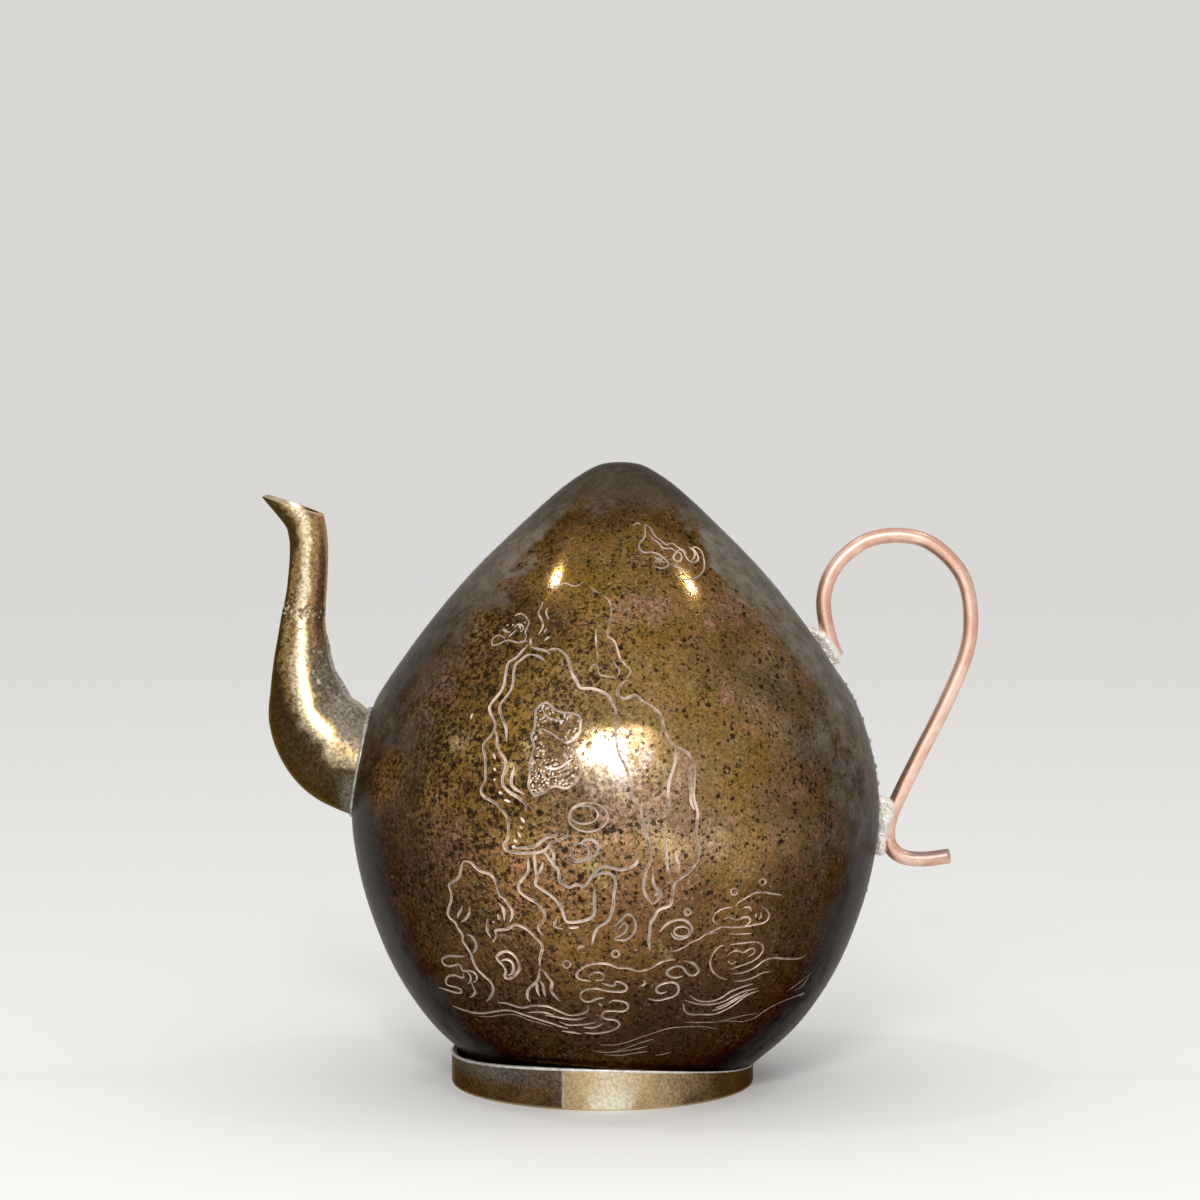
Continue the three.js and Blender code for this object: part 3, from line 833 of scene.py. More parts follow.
def copperWire():
    material, net, shader = newMaterial("copperWire", Metallic=1.0, Specular_Tint=wireFinish["tint"])
    tone = net.clouds(5.0, 0.35, 0.65, seed=0.2)
    colour = net.blend(tone, wireFinish["pale"], wireFinish["deep"])
    split = net.axes()
    onHook = net.times(net.ramp(split["X"], 0.0455, 0.0475), net.ramp(split["Z"], 0.0354, 0.0366, 0.0, 0.8))
    onHook = net.times(onHook, net.ramp(split["Z"], 0.0395, 0.0385))
    colour = net.blend(onHook, colour, wireFinish["tarnish"])  # the hook's upper side is tarnished
    dark = net.specks(0.5, 0.42, seed=0.4)
    colour = net.blend(net.times(dark, 0.5), colour, wireFinish["speck"])
    wearAndLight = net.scratches(4.0, 0.15, 0.5)
    colour = net.blend(wearAndLight, colour, wireFinish["scratch"])
    rough = net.share(tone, 0.3, 0.42)
    relief = net.minus(tone, dark)
    net.coat(shader, relief, 0.25, 0.04, Base_Color=colour, Roughness=rough)
    return material


def greySolder(name, pale, dull, metal, pitted=0.35, hole=(0.1, 0.09, 0.075), sideShade=None):
    material, net, shader = newMaterial(name, Metallic=metal)
    tone = net.clouds(1.4, 0.3, 0.7, seed=0.8)
    colour = net.blend(tone, pale, dull)
    dark = net.specks(0.6, pitted, seed=0.9)
    colour = net.blend(net.times(dark, 0.6), colour, hole)
    if sideShade:  # painted shade away from the middle of the front
        off = net.size(net.plus(net.axes()["X"], 0.001))
        colour = net.blend(net.ramp(off, 0.009, 0.022, 0.0, 0.75), colour, sideShade)
    rough = net.share(tone, 0.35, 0.6)
    net.coat(shader, net.minus(tone, dark), 0.5, 0.1, Base_Color=colour, Roughness=rough)
    return material


innerFinish = {
    "pale": (0.22, 0.15, 0.06),
    "dark": (0.09, 0.075, 0.045),
    "stain": (0.12, 0.17, 0.12),
}


def innerBrass():
    material, net, shader = newMaterial("innerBrass", Metallic=0.8)
    tone = net.clouds(6.0, 0.35, 0.65, seed=0.3)
    colour = net.blend(tone, innerFinish["pale"], innerFinish["dark"])
    stain = net.clouds(3.0, 0.55, 0.7, seed=0.6)
    colour = net.blend(net.times(stain, 0.5), colour, innerFinish["stain"])
    rough = net.share(tone, 0.45, 0.7)
    net.coat(shader, tone, 0.3, 0.08, Base_Color=colour, Roughness=rough)
    return material


brassSkin = bodyBrass()
grooveSkin = groove("groove", (0.4, 0.28, 0.2), (0.72, 0.54, 0.42), (0.92, 0.74, 0.6))
grooveFloorSkin = groove("grooveFloor", (0.1, 0.065, 0.04), (0.4, 0.3, 0.24), (0.7, 0.57, 0.47))
brightGrooveSkin = groove("brightGroove", (0.5, 0.4, 0.32), (0.8, 0.69, 0.58), (0.95, 0.88, 0.79))
spoutSkin = brightBrass()
footSkin = footBrass()
wireSkin = copperWire()
lumpSkin = greySolder("lumpSolder", (0.95, 0.9, 0.83), (0.66, 0.61, 0.55), 0.35,
                      pitted=0.4, hole=(0.3, 0.28, 0.25))
crustSkin = greySolder("crustSolder", (0.62, 0.58, 0.52), (0.34, 0.31, 0.28), 0.5, pitted=0.5)
seamSkin = greySolder("seamSolder", (0.49, 0.46, 0.42), (0.25, 0.23, 0.2), 0.65)
jointSkin = greySolder("jointSolder", (0.72, 0.6, 0.4), (0.3, 0.21, 0.11), 0.9, pitted=0.55)
brightSolderSkin = greySolder("brightSolder", (0.95, 0.92, 0.88), (0.6, 0.56, 0.51), 0.7,
                              pitted=0.25, sideShade=(0.3, 0.28, 0.25))
innerSkin = innerBrass()
report("materials made")


# The half shells

shellMesh = {
    "rows": 118,
    "columns": 124,
    "topRadius": 0.7,
    "poleDrop": 0.02,
    "edgeFacing": 0.8,  # faces turned further from the pressed surface are cut edges
    "toolRows": 150,
    "toolSides": 160,
    "toolEnd": 8,  # stops of the outline left off at the point
}


def shellHalf(name, side):
    edge = peach["seam"] / 2
    stops = np.linspace(0, np.count_nonzero(outline[:, 0] > shellMesh["topRadius"]), shellMesh["rows"])
    index = np.arange(len(outline))
    layers = []
    for depth in (0, peach["sheet"]):
        radii = np.interp(stops, index, outline[:, 0] - depth * outlineSlope[:, 1])
        heights = np.interp(stops, index, outline[:, 1] + depth * outlineSlope[:, 0])
        for r, z in zip(radii, heights):
            start = math.asin(edge / (squeeze * r))
            turn = np.linspace(start, math.pi - start, shellMesh["columns"])
            x = lean(z) + r * np.cos(turn)
            y = side * squeeze * r * np.sin(turn)
            layers.append(np.column_stack([x, y, np.full(len(turn), z)]))
    top = peach["height"]
    poles = [(0, side * edge, top - drop) for drop in (shellMesh["poleDrop"], peach["sheet"])]
    rows, columns = shellMesh["rows"], shellMesh["columns"]
    corners = np.vstack(layers + [poles])
    outerPole, innerPole = len(corners) - 2, len(corners) - 1
    inner = rows * columns
    faces = []
    for i in range(rows - 1):
        for k in range(columns - 1):
            a = i * columns + k
            b = a + columns
            faces.append((a, a + 1, b + 1, b))
            faces.append((inner + a, inner + b, inner + b + 1, inner + a + 1))
        for k in (0, columns - 1):
            a = i * columns + k
            faces.append((a, a + columns, inner + a + columns, inner + a))
    last = (rows - 1) * columns
    for k in range(columns - 1):
        faces.append((k, k + 1, inner + k + 1, inner + k))
        faces.append((last + k, last + k + 1, outerPole))
        faces.append((inner + last + k, inner + last + k + 1, innerPole))
    for k in (0, columns - 1):
        faces.append((last + k, outerPole, innerPole, inner + last + k))
    thing = makeObject(name, corners, faces)
    fixFacing(thing)
    return thing


def smoothShell(thing):  # gives the pressed surface its true normals, whatever is cut into it
    mesh = thing.data
    mesh.shade_smooth()
    flat = gathered(mesh.polygons, "normal", 3)
    centres = gathered(mesh.polygons, "center", 3)
    sizes = gathered(mesh.polygons, "loop_total", kind=int)
    kinds = gathered(mesh.polygons, "material_index", kind=int)
    ends = gathered(mesh.loops, "vertex_index", kind=int)
    facing = np.einsum("ij,ij->i", flat, peachNormals(centres / mm))
    kinds[np.abs(facing) < shellMesh["edgeFacing"]] = 1
    pressed = peachNormals(gathered(mesh.vertices, "co", 3) / mm)[ends]
    pressed *= np.sign(np.repeat(facing, sizes))[:, None]
    normals = np.where(np.repeat(kinds, sizes)[:, None] == 0, pressed, np.repeat(flat, sizes, axis=0))
    mesh.normals_split_custom_set(normals.tolist())


def bodyTool():  # the whole body, to cut the pieces that sit on it
    turn = fullTurn(shellMesh["toolSides"])
    stops = np.linspace(0, len(outline) - shellMesh["toolEnd"], shellMesh["toolRows"]).astype(int)
    rings = []
    for i in stops:
        r, z = outline[i] + clearance * np.array([outlineSlope[i][1], -outlineSlope[i][0]])
        x = lean(z) + r * np.cos(turn)
        rings.append(np.column_stack([x, squeeze * r * np.sin(turn), np.full(len(turn), z)]))
    return loft("peachTool", rings)


# The engraving: each stroke's points are x,z in mm on the plane of the seam

graving = {
    "step": 0.35,
    "widths": {"bold": 0.46, "plain": 0.38, "thin": 0.3, "faint": 0.19, "dot": 0.3},
    "dots": 190,  # short cuts that fill the rim of the cave
    "dotBand": 1.9,
    "dotMargin": 0.35,
    "dotField": ((-15, -6.3), (46, 61.3)),  # x, then z
    "dotCorner": (-13, 52),  # to the right of x and below z they fill the cave
    "dotTurn": (0.2, 1.2),
    "dotLength": (0.25, 0.6),
    "depth": 0.12,
    "rise": 0.06,
    "floorShare": 0.5,  # of the width, at the bottom of the groove
    "taper": 1.3,  # mm over which an end runs out
    "endStrength": 0.35,
    "wobble": 0.05,
    "wobblePace": 0.6,
    "unevenness": 0.16,
    "unevenPace": 0.9,
}

peak = """
-11.1,79.6 -9.6,80.2 -8.9,80.6 -8.1,80.1 -7.1,80 -6.1,80.6 ;
-5,80.2 -4.5,79.4 -3.5,78.9 ;
-2.6,78.3 -1.9,77.8 -1.6,76.9 -1.4,75.8 -1.7,74.5 -1.9,73.1 -2.1,71.9 -1.2,71.4 -0.9,71 -0.5,69.8
0,68.2 0.8,67.3 1.6,66.5 1.6,66 0.8,64.9 ;
-3.5,74.3 -3.9,73 -3.9,70.3 -3.6,67.8 ;
-5,66.2 -4.6,67.1 -3.9,67.4 -3.6,66.6 -3.5,65.9 -2.7,65.5 -1.4,65.3 -0.5,65.2 ;
-1.2,68 -0.7,67.1 -0.1,66.4 -0.5,65.3
"""

rightRock = """
11.4,51.3 11.2,49.2 11.3,47.2 11.4,45.1 12,43.8 ;
1.4,64.8 0.4,64.5 -0.2,63.7 -0.6,62.8 -0.2,62.1 0.9,61.8 2,62.4 2.8,62.2 3.6,61.4 4.8,60.7
5.8,59.9 6.5,59.2 6.8,58.1 7,57.2 7.4,56 7.9,54.9 8.8,54.1 ;
8.8,54.1 9.7,53.7 10.6,53.2 11.3,52.4 11.8,51.3 12,50.1 11.9,48.1 11.8,46.7 12,45.1 12.5,43.5
12.5,42.4 12.2,40.1 12.4,38.8 12.7,37.4 12.6,36 12.2,35.1 11.7,34.4 10.9,33.5 9.9,32.8 9,32.2
8.6,31.3 8.4,29.9 8.2,28.4 7.5,28 6.3,27.6 5.8,26.9 5.4,26 4.9,25.5 4.8,24.2 4.6,22.3 4.8,20.9 ;
8.9,54 8.9,52.4 8.8,51.3 8.1,49.2 7.8,47.9 7.7,45.8 7.9,44 7.6,43.3 7.1,42.6 ;
7.4,40 7.3,38.3 7.4,36.7 7.6,34.8 8,32.6 ;
8.9,37.1 9.1,35.8 9.5,34.7 9.1,33.6 ;
5.3,33.5 5.3,32 5.8,31 6.5,30.5 6.3,29.4 5.4,28.5 ;
5.5,29.9 6.2,30.3
"""

mainRock = """
-14.5,71.7 -14.5,70.4 ;
-14.5,70.2 -13.6,69.9 -12.7,69.7 -11.8,69.5 -11.4,68.9 ;
-11.8,69.6 -10.7,69.9 -9.5,69.5 -8.5,68.5 -8.2,67.5 -8,66.4 -7.6,65.4 -7,64.5 -6.4,63.5 -5,63.5
-3.9,63.3 -2.7,62.8 -1.8,62.1 -1.4,61.2 -0.9,60.3 -0.7,59.5 -0.8,57.2 -0.7,55.4 -0.3,52.9
0.6,51.3 1.3,49.5 1.7,48.1 2,46 2.5,44.9 3.3,44 3.5,42.2 3.9,40.1 4.5,38.5 4.8,37.2 5,35.8
4.2,33.9 3.8,32 3.8,30.7 4.2,29.7 4.9,28.8 5.3,28.4 ;
-14.9,70.5 -15.7,69.7 -16.4,68.8 -17.3,68.1 -18,67.8 -18.3,67.1 -18.5,66 -18.8,64.1 -19.4,62.8
-20.5,61.5 -21.1,60.7 -21.2,60.4 -20.9,59.2 -20.3,58.1 -20.2,57.2 -20.6,56.2 -21.3,55.3
-21.9,54.8 -22.2,54 -21.9,52.9 -21.8,51.3 -21.8,49.5 -21.9,48.3 -22.4,47.6 -22.5,46.6
-21.8,45.8 -21,45.3 -20.2,44.9 -19.4,44 -18.6,43.1 -18.2,42 -18.1,40.6 -18.1,39.5 -18.6,38.5
-18.9,37.9 -18.4,37.2 -17.3,36.9 -15.9,36.8 -14.1,36.8 -12.7,37 -11.8,37.6 -11.1,38.5 -9.5,39.1
-8.6,39.6 -8.6,40.4 ;
-14.3,69 -15.2,68.8 -16.1,68 -16.9,67.4 -17.2,66.2 -17.3,64.6 -17.7,63.2 -18.4,62.1 -19.2,61.2
-19.5,60.5 -19.4,59.5 -19,58.5 -18.5,57.2 -18.4,56 -18.4,54.9 ;
-14.3,69 -13.2,68.7 -12.5,68.2 -12,67.7 ;
-20.2,56.7 -19.9,55.6 -19.8,54.2 -19.3,52.9 -18.6,52 -18.5,50.8 -18.9,49.5 -19.1,49 -19.1,48.1
-18.6,47.2 -17.6,46.4 -16.6,45.8 -15.7,45.1 -15.2,44.5 -15.5,43.5 ;
-17.1,51 -17.3,49.9 -17.6,49 -17.7,48.1 -17.3,47.4 -16.4,46.8 -15.5,46.3 ;
-17.3,37.6 -15.9,37.6 -14.5,37.6 -13.6,38 -12.7,38.8 -11.8,39.3 -10.7,39.5 -10.2,39.9 -10,40.4 ;
-6.6,38.3 -5.5,39 -4.3,38.8 -3.6,37.9 -3.8,36.7 -4.5,36.2 -5.7,35.7 -6.8,35.3 -7.8,35.5
"""

cave = """
-12.1,61.2 -13.6,59.9 -13.8,57.3 -14.4,55.7 -13.9,54 -14.6,51.6 -14.7,49 -14.9,48 -14.4,46.7
-13.6,46.1 -12.4,46.6 -11.1,47.5 -10,47.6 -8.8,47.3 -7.2,48.3 -6.5,49.7 -6.6,51.6 -7.4,53.3
-7.8,54.6 -6.7,56 -6.5,57.5 -6.5,58.9 -8.2,59.5 -9.7,59.6 -11,60.4 -12.1,61.2
"""

caveRim = """
-13.1,57 -12,56.7 -11.1,56.2 -9.7,55.2 -9.1,54.6 ;
-8.9,54 -8.3,53.3 -8.4,52.2 ;
-10.3,49.9 -9.1,50.3 -7.8,51.3 ; -11.4,49.1 -9.3,49.4 -7.6,50.3 ; -10.5,48.4 -8.9,48.5 -7.2,49.7 ;
-12.9,49.9 -12.2,49 -11.3,48.4 ; -12.6,60 -11.8,58.9 -10.6,58.4 -9.3,58.3
"""

caveLight = """
-9.1,54.7 -7.8,55 -6.8,56.4 ; -12.1,50.7 -10.9,50.4 -9.7,50.7 -8.8,51.3 -7.6,52.1
"""

rockDashes = """
-20.6,53 -20.2,52 ; -20.5,50.6 -20.2,50.1 ; -20.4,48.9 -20.3,48.5 ; -19.7,46.7 -19.1,46.4 ;
-18.8,45.4 -17.8,45.1 ; -16.1,42.6 -15.5,41.7 ; -16.3,41.2 -15.8,40.7 ; -16.6,40.1 -16.1,39.3 ;
-17.3,39 -16.7,38.5 ; -17.6,37.9 -16.9,37.7 ; -23.9,59.5 -24.2,58.5
"""

rockBase = """
-11,36 -11,34.9 -10.1,34.2 -9.9,32.6 -9.7,31.9 -9,31.7 -8.3,31.1 -7,31.7 -5.8,31.3 -4.9,32.6
-3.8,33.9 -2.7,34.6 -1.4,34.4 -0.1,34 1.2,34.3 2.5,35 3.1,36.8 ;
-12.4,36.8 -11.8,36.3 -11.4,35.6 -10.7,34.9 -10,34.1 ;
-11.8,37.9 -11.1,37.3 -10.8,36.5 -10.7,35.4 ;
-5.1,32.6 -4.1,33.1 -2.7,33.6 -1.7,33.5 -0.9,32.6 -0.8,31.3 -1.1,29.9 -1.1,28.6 -1.4,27.1
-1.8,26 -2.7,25.2 -3.5,24.8 -4.1,23.9 -4.4,22.8 -4.6,21.9 ;
-4.2,31 -4.2,28.5 -4.2,26.9 -5.1,26 -6.3,25.7 -7.9,25.5 -8.8,25.7 -9.2,26.7 -9.5,27.6
-10.1,28.7 -11.3,29.9 -12.6,30.8 -13.8,31.7 -13.5,32.8 -13.8,34.6 -13.8,36.5 ;
-12.5,35.3 -12.9,34 -13.3,33.3 ;
-10.2,26.5 -10.6,25.5 -10.8,25.1 -10.1,24.6 -9.3,24.5 ;
-8.3,24.6 -6.7,24.7 ;
-14.9,35.8 -15,33.7 -15.8,32.6 -16.5,31.7 -16.5,30.8 -15.6,29.9 -14.5,29.2 -13.3,28.5
-12.6,27.6 -12.2,26.7 -12.4,25.8 -13.1,25.1 -13.3,24.4 -12.5,23.4 ;
-14.1,36.5 -13.8,35.6 -13.9,34.7
"""

leftRock = """
-25.4,35.5 -25.8,34.2 -26,33 -27,32.1 -27.8,31.6 -27.4,30.3 -27.4,29 -27.8,27.8 -28,26.9
-27.6,26.2 -26.7,25.5 -26.4,24.6 -25.9,24 -25.5,23.3 -25.6,22.6 -24.9,21.5 -24.2,20.3 -23.8,19
-23.1,17.8 -22,16.7 -21,15.8 -20.6,14.9 -20.7,14 -21.3,13 -21.7,12.6 ;
-25.4,35.5 -24.2,35.3 -23.5,34.5 -22.6,33.8 -21,33.3 -20.3,32.4 -19.9,31.2 -19.6,30 -18.8,29.4
-18.2,28.5 -17.6,27.6 -17.5,26.5 -17.9,25.5 ;
-19.8,28.7 -19.1,28 -18.8,26.9 -18.8,25.7 ;
-19.8,26.9 -19.7,25.9 ; -20.6,25.7 -20.5,25.4 ;
-21.5,26.1 -21.6,25.1 -21.5,24 -21,23.1 ;
-25.6,28.2 -25.7,27.5 -26.2,26.9 -26.4,26.2 ;
-24.5,28 -24.3,27.4 -24.7,26.5 -25.1,25.9 -25.9,25.5 ;
-24.9,23.5 -24.1,23.3 -23.4,22.1 -23.4,21.2 -23.9,20.4 ;
-20.7,22.3 -20.3,22.8 -20.1,23.7 -20.4,24.2 -19.5,24.3 -18.1,24.4 -17.2,25.1 -16,24.9
-14.9,24.2 -14,23.3 -13.1,22.4 -12.6,21.5 -12.9,20.3 -13.1,19.2 -13,18.3 ;
-13,18 -13.2,16.9 -13.5,16 -14.2,15.3 -14.9,14.6 -15.1,13.7 -15,13 -14.6,12.6 ;
-13,18 -12.2,17.4 -11.7,16.5 -11,15.7 -11.3,14.6 -10.8,13.7 -10.1,13 -9.7,12.6 ;
-13.5,15.9 -13.5,14.9 -13.4,14.2 -13.1,13.5 ;
-13,15.9 -12.5,15.2 -12.4,14.2 -12.1,13.4 ;
-20.1,19.8 -19.5,20.5 -18.3,20.8 -17.2,20.1 -16.5,19 -16.3,18 -17,16.9 -18.1,16.3 -18.9,16.7
-18.5,17.4 -19,18.5 -19.7,19.2 -20.1,19.8 ;
-19.5,19.2 -18.5,19.5 -17.6,19.1 -17.3,18 -17.6,17.1 -18.3,16.9
"""

leftScrolls = """
-25.3,19.9 -26.5,20 -27.9,20 -28.9,19.6 -28.9,19 -28.2,18.4 -27.2,18.4 -26.3,18.7 -25.7,18.3
-25.8,17.7 -25,17.6 -24.2,17.6 -23.5,17.2 -23.2,16.6 -23.4,15.9 -23.9,15.7 ;
-24.9,17.5 -24.3,16.8 -24.2,16 -24.7,15.5 ;
-25.5,17.1 -25.3,16.5 -26,16.5 -26.7,16.9 -27.9,16.7 -28.3,16 -28.1,15.3 -27,15 -26,14.7
-25.6,14.1 -26.5,14 -28.1,14.5 -29.5,14.9 ;
-24.2,15.8 -23.8,14.9 -23.5,14.2 -23.8,13.6 -24.5,13.2
"""

waves = """
-19.9,12.4 -18.5,12.3 -17.2,11.9 -15.8,11.6 -14.5,11.9 -13.1,11.9 -11.7,11.8 -10.4,11.2
-9.5,10.8 -8.3,10.4 -7.2,10.4 -5.8,10.8 -5.1,11.2 -5.4,11.9 ;
-27.2,11.9 -25.4,11.2 -23.8,10.8 -22,10.7 -20.4,11 -18.5,11.2 -17.2,11 -15.8,10.5 -14.5,10.1
-12.9,9.6 -11.3,9.1 -9.9,8.6 -8.5,8.2 ;
-15.1,10.8 -13.5,10.9 -12.2,10.8 -10.8,10.4 ;
-12.2,10.3 -10.8,10.2 -9.5,9.9 -7.9,9.7 -6.5,9.75 -5.6,10 ;
-9.9,9.3 -8.5,8.8 -6.7,8.8 -5.1,9 -4,9.2 ;
-6,8.4 -4.5,8.3 -3.3,8.7 -2.8,9 ;
-9.5,7.8 -7.9,7.6 -6.3,7.3 ;
-5.8,7.5 -4.2,7.4 -1.9,7.7 -0.4,8.4 -0.1,9 -0.9,9.6 -2.5,9.8 -3,10.3 -2.6,11 -1.2,11.1 0.4,11
1.2,11.4 1.2,12.2 0.4,12.6 -1.2,12.8 -1.9,12.3 ;
-6.6,13.4 -6.4,14 -5.4,14.6 -3.8,14.7 -2.2,14.3 -0.4,14.2 0.7,14.3 1.1,14.9 0.4,15.6 -0.9,15.9
-0.8,15.2 -2.2,15.3 -3,15.7 ;
-6.6,13.4 -6,12.7 -4.8,12.6 -3.8,13.1 -2.6,13.2 ;
-3.5,12.3 -3,11.8
"""

lowWaves = """
-23.1,10.2 -21.3,10.1 -19.5,10.4 -17.6,10.5 -16,10.1 -14.7,9.5 -13.1,9.1 -11,8.5 ;
16.5,9.4 18.3,9.4 19.9,9.3 21.7,9.9 23.3,11 24.6,11.8 26.2,12.6 28.3,13.4 29.9,14 ;
10.4,9.2 13.1,9.2 15.7,9.3 17.8,9.8 19.9,10.3 22.3,10.7 ;
-3.3,5.5 -1.2,5.5 0.9,5.9 3.1,6.7 5.2,7.4 7.3,8.1 9.4,8.4 11.5,8.5 13.6,8.5 15.7,8.1 ;
-1.4,4.4 0.7,4.9 2.8,5.7 5.4,6.5 ;
-4.6,4.6 -2.7,4.3 -0.6,4.4 1.7,4.7 4.4,5.3 ;
-2.7,3.9 -0.1,3.8 2.5,4.2 4.4,4.4 ;
5.7,3.8 7,4 8.3,4.4 ;
28.3,14.4 29.6,15.2 30.9,17.4 ;
27.3,14.4 28.8,15.5 30.4,16.8 ;
28.6,13.4 29.9,13.9
"""

cloudBands = """
-4.7,15.9 -6.7,16.3 -7.2,16.9 -6.7,17.6 -5.6,18.4 -4.1,18.8 -1.9,18.7 -0.4,18.1 1.2,18.1
2.5,17.6 3.8,17.7 5.2,18.2 6.5,19 7.8,19.4 9,19.4 ;
-5.2,16.4 -4.6,17.2 -3.3,17.4 -2.6,16.8 -2.9,16.1 -4.1,16.1 ;
10.2,19.2 11.7,18.9 12.7,17.8 12.4,17.1 11.5,16.8 10.7,17.3 10.2,18.1 9.1,18.4 7.8,17.8
7.5,17.1 8.8,16.5 10.2,16.8 ;
3.6,16.1 4.2,15.5 3.3,15.1 ;
4.4,13.1 5.9,12.8 7.5,13.1 8.8,13.5 9.5,14.4 9.1,15.5 7.8,15.7 6.2,15.2 5.7,14.4 6.5,13.9
7.6,14.2 ;
-1,22.7 0.7,22.6 1.9,23.4 2.5,24.7 2.1,26.3 1.1,26.9 0.2,26 -0.9,24.9 ;
-0.5,24.3 0.7,25.5 1.1,24.7 0.7,23.8 -0.9,22.9 ;
6.3,23.9 7.5,25.2 9.1,25.9 10.7,25.7 11.7,24.4 11.1,23.4 9.9,22.8 8.6,23.1 8.2,23.9 ;
-5.7,21.5 -6.3,21.7 -6.9,21.3 -7,20.8
"""

rightClouds = """
8.1,20.9 9.1,20.9 10.4,21.5 11.5,22.3 12.8,22.8 13.8,23.6 15.2,24.2 16.5,24.8 18.3,24.7
19.9,24.8 21.7,25.1 23.3,25.5 24.1,26.4 23.8,27.4 22.8,28.1 ;
13.6,23.6 14.9,23.8 15.8,23.8 ; 17.3,23.7 18.8,23.6 21.2,23.7 ;
15.8,25.2 15,25.7 15.3,26.9 16.5,27.7 18.1,28 ;
18.7,28.1 19.4,29 20.7,29.7 21.7,30.3 23.1,30.4 24.6,30.2 26.1,29.9 ;
16.7,25.9 17.5,26.4 18.3,26 19.1,25.9 19.9,26.3 20.7,26.4 21.1,25.7 20.2,24.9 ;
19.9,27.8 20.9,28.1 21.2,27.3 ; 22,27.1 21.9,26.3 ; 22.7,27.2 22.9,26.5 22.4,26 ;
16.7,21.8 15.7,21.3 14.9,20.2 14.5,18.9 14.9,17.6 15.9,16.7 17.3,16.1 ;
17.8,21.9 19.6,22.1 21.2,22.3 22.5,22.2 23.2,21.4 22.7,20.2 21.5,19.2 19.6,18.5 17.8,17.8 ;
17.5,20.2 18.1,20.7 19.1,20.9 19.9,20.5 20.7,21.1 21.7,21.3 21.7,20.5 20.7,19.9 ;
17.4,19.2 18.1,18.6 18.8,19.2 ;
18.3,17.1 19.9,17.3 21.7,18.1 23.3,19.3 24.9,19.7 26.7,19.6 28.8,19.6 30.2,20.2 ;
18.3,15.9 19.9,16 21.5,16.5 23.1,17.3 24.4,17.4 ;
11.2,13.6 12.5,12.8 14.4,12.6 16.2,13.1 17.8,14.2 19.6,14.9 21.5,15.5 ;
10.2,12.3 10.4,11 11.5,10.5 13.1,10.5 14.9,10.5 16.7,11.1 18.6,12.2 20.4,13.6 22.5,14.4 ;
10.4,12.8 12.5,12.2 14.6,12.1 16.7,12.6 18.6,13.6 20.2,14.3 22.3,14.8 ;
14.9,11.1 17,11.8 19.1,13.1 20.7,14.2 ;
15.4,11.5 17.3,12.3 19.4,13.6
"""

bat = """
4.7,88.3 5.3,87.4 6.1,87.1 6.6,86.3 7.4,86 8.2,86.2 8.8,85.6 ; 8.6,84.6 9.1,85.7 10.1,85.9 10.7,85.2 ;
2,89.8 2.6,90.2 3.3,90 ; 5.4,84.8 6.5,84 7.6,83.8 ; 5.6,83.8 6.9,84.6 7.5,84.8 ;
8.4,83.8 9.5,82.9 10.7,82.3 11.4,82.7 ; 11,86.3 11.8,85.7 12,84.8 11.4,84 ;
3.9,89.9 4,88.9 3.9,87.9 3.3,87.2 2.9,86.4 3.2,85.8 3.8,85.4 4.9,85.5 5.8,85.3 6.7,84.8
7.4,84.1 7.9,83.6 7,82.9 6,83 5.3,83.2 ;
3.9,89.9 4.7,89.5 5.3,88.5 5.8,87.8 6.7,87.2 7.4,86.6 8.3,87 9,86.4 9.7,86 10.3,85.3 10.6,84.6
11.2,83.9 12,83.8 12.6,84.4 12.4,85 12,85.7 11.5,86.2 12.2,86.3 12.9,85.8 13.3,85 13.5,83.9
13.5,83 13.1,82.1 12.2,81.4 11,81.1 9.9,81.1 9.1,81.6 8.8,82.3 ;
5.4,83.7 6,84.6 6.6,84.3 6.2,83.6 5.6,83.9 ;
8.5,84.6 8.8,85.3 9.5,85.5 9.9,84.8 9.5,83.9 8.8,84.1 8.5,84.6 ;
8.1,83.5 9,83 9.9,82.5 10.4,81.6
"""

twig = """
-17.1,73.3 -16.6,73.9 -15.8,73.7 -15.6,73 -16.2,72.6 ; -19,73 -18.4,72.6 -17.7,72.6 ;
-17.1,75.2 -16,75.6 -15.1,74.8 -14.7,73.9 ; -15.1,72 -15.6,70.9 -16.6,70.9 -17.3,71.2 ;
-15,71.1 -15.9,71.1 -16.6,70.8 -17.3,71.1 -18,71.3 -18.6,71.2 -19.3,70.8 -20.2,70.4 -20.8,70.5
-20.7,71.2 -20.3,71.8 -19.7,72.1 -19,71.9 -18.6,71.4 ;
-18.1,71.8 -17.5,72.3 -16.8,72.9 ; -19.1,73.1 -18.3,72.8 ;
-18.3,73.8 -18.1,73.6 ; -17.4,73.9 -17.3,73.6 ; -15.5,74.3 -15.3,74 ; -16.3,74 -16.2,73.4 -16.1,73 ;
-14.8,74.6 -14.7,74 -15.1,73.2 -15.5,72.4 -15.1,72 ;
-12.5,77.4 -12.8,76.6 -13.3,75.6 -12.8,74.8 -12.5,73.9 -12.6,73.1 -13.3,72.1 ;
-11.7,76.5 -12,76 -11.9,75.3 -11.6,74.6 ;
-11.9,73.2 -12.3,72.5 ; -11.4,71.9 -12.3,71.2 ; -9.5,68.2 -9.3,67.1
"""

drawing = [
    ("thin", peak), ("bold", rightRock), ("bold", mainRock), ("plain", cave), ("thin", caveRim),
    ("bold", caveLight), ("bold", rockDashes),
    ("bold", rockBase), ("bold", leftRock), ("plain", leftScrolls), ("plain", waves),
    ("faint", lowWaves), ("plain", cloudBands), ("thin", rightClouds), ("thin", bat), ("thin", twig),
]

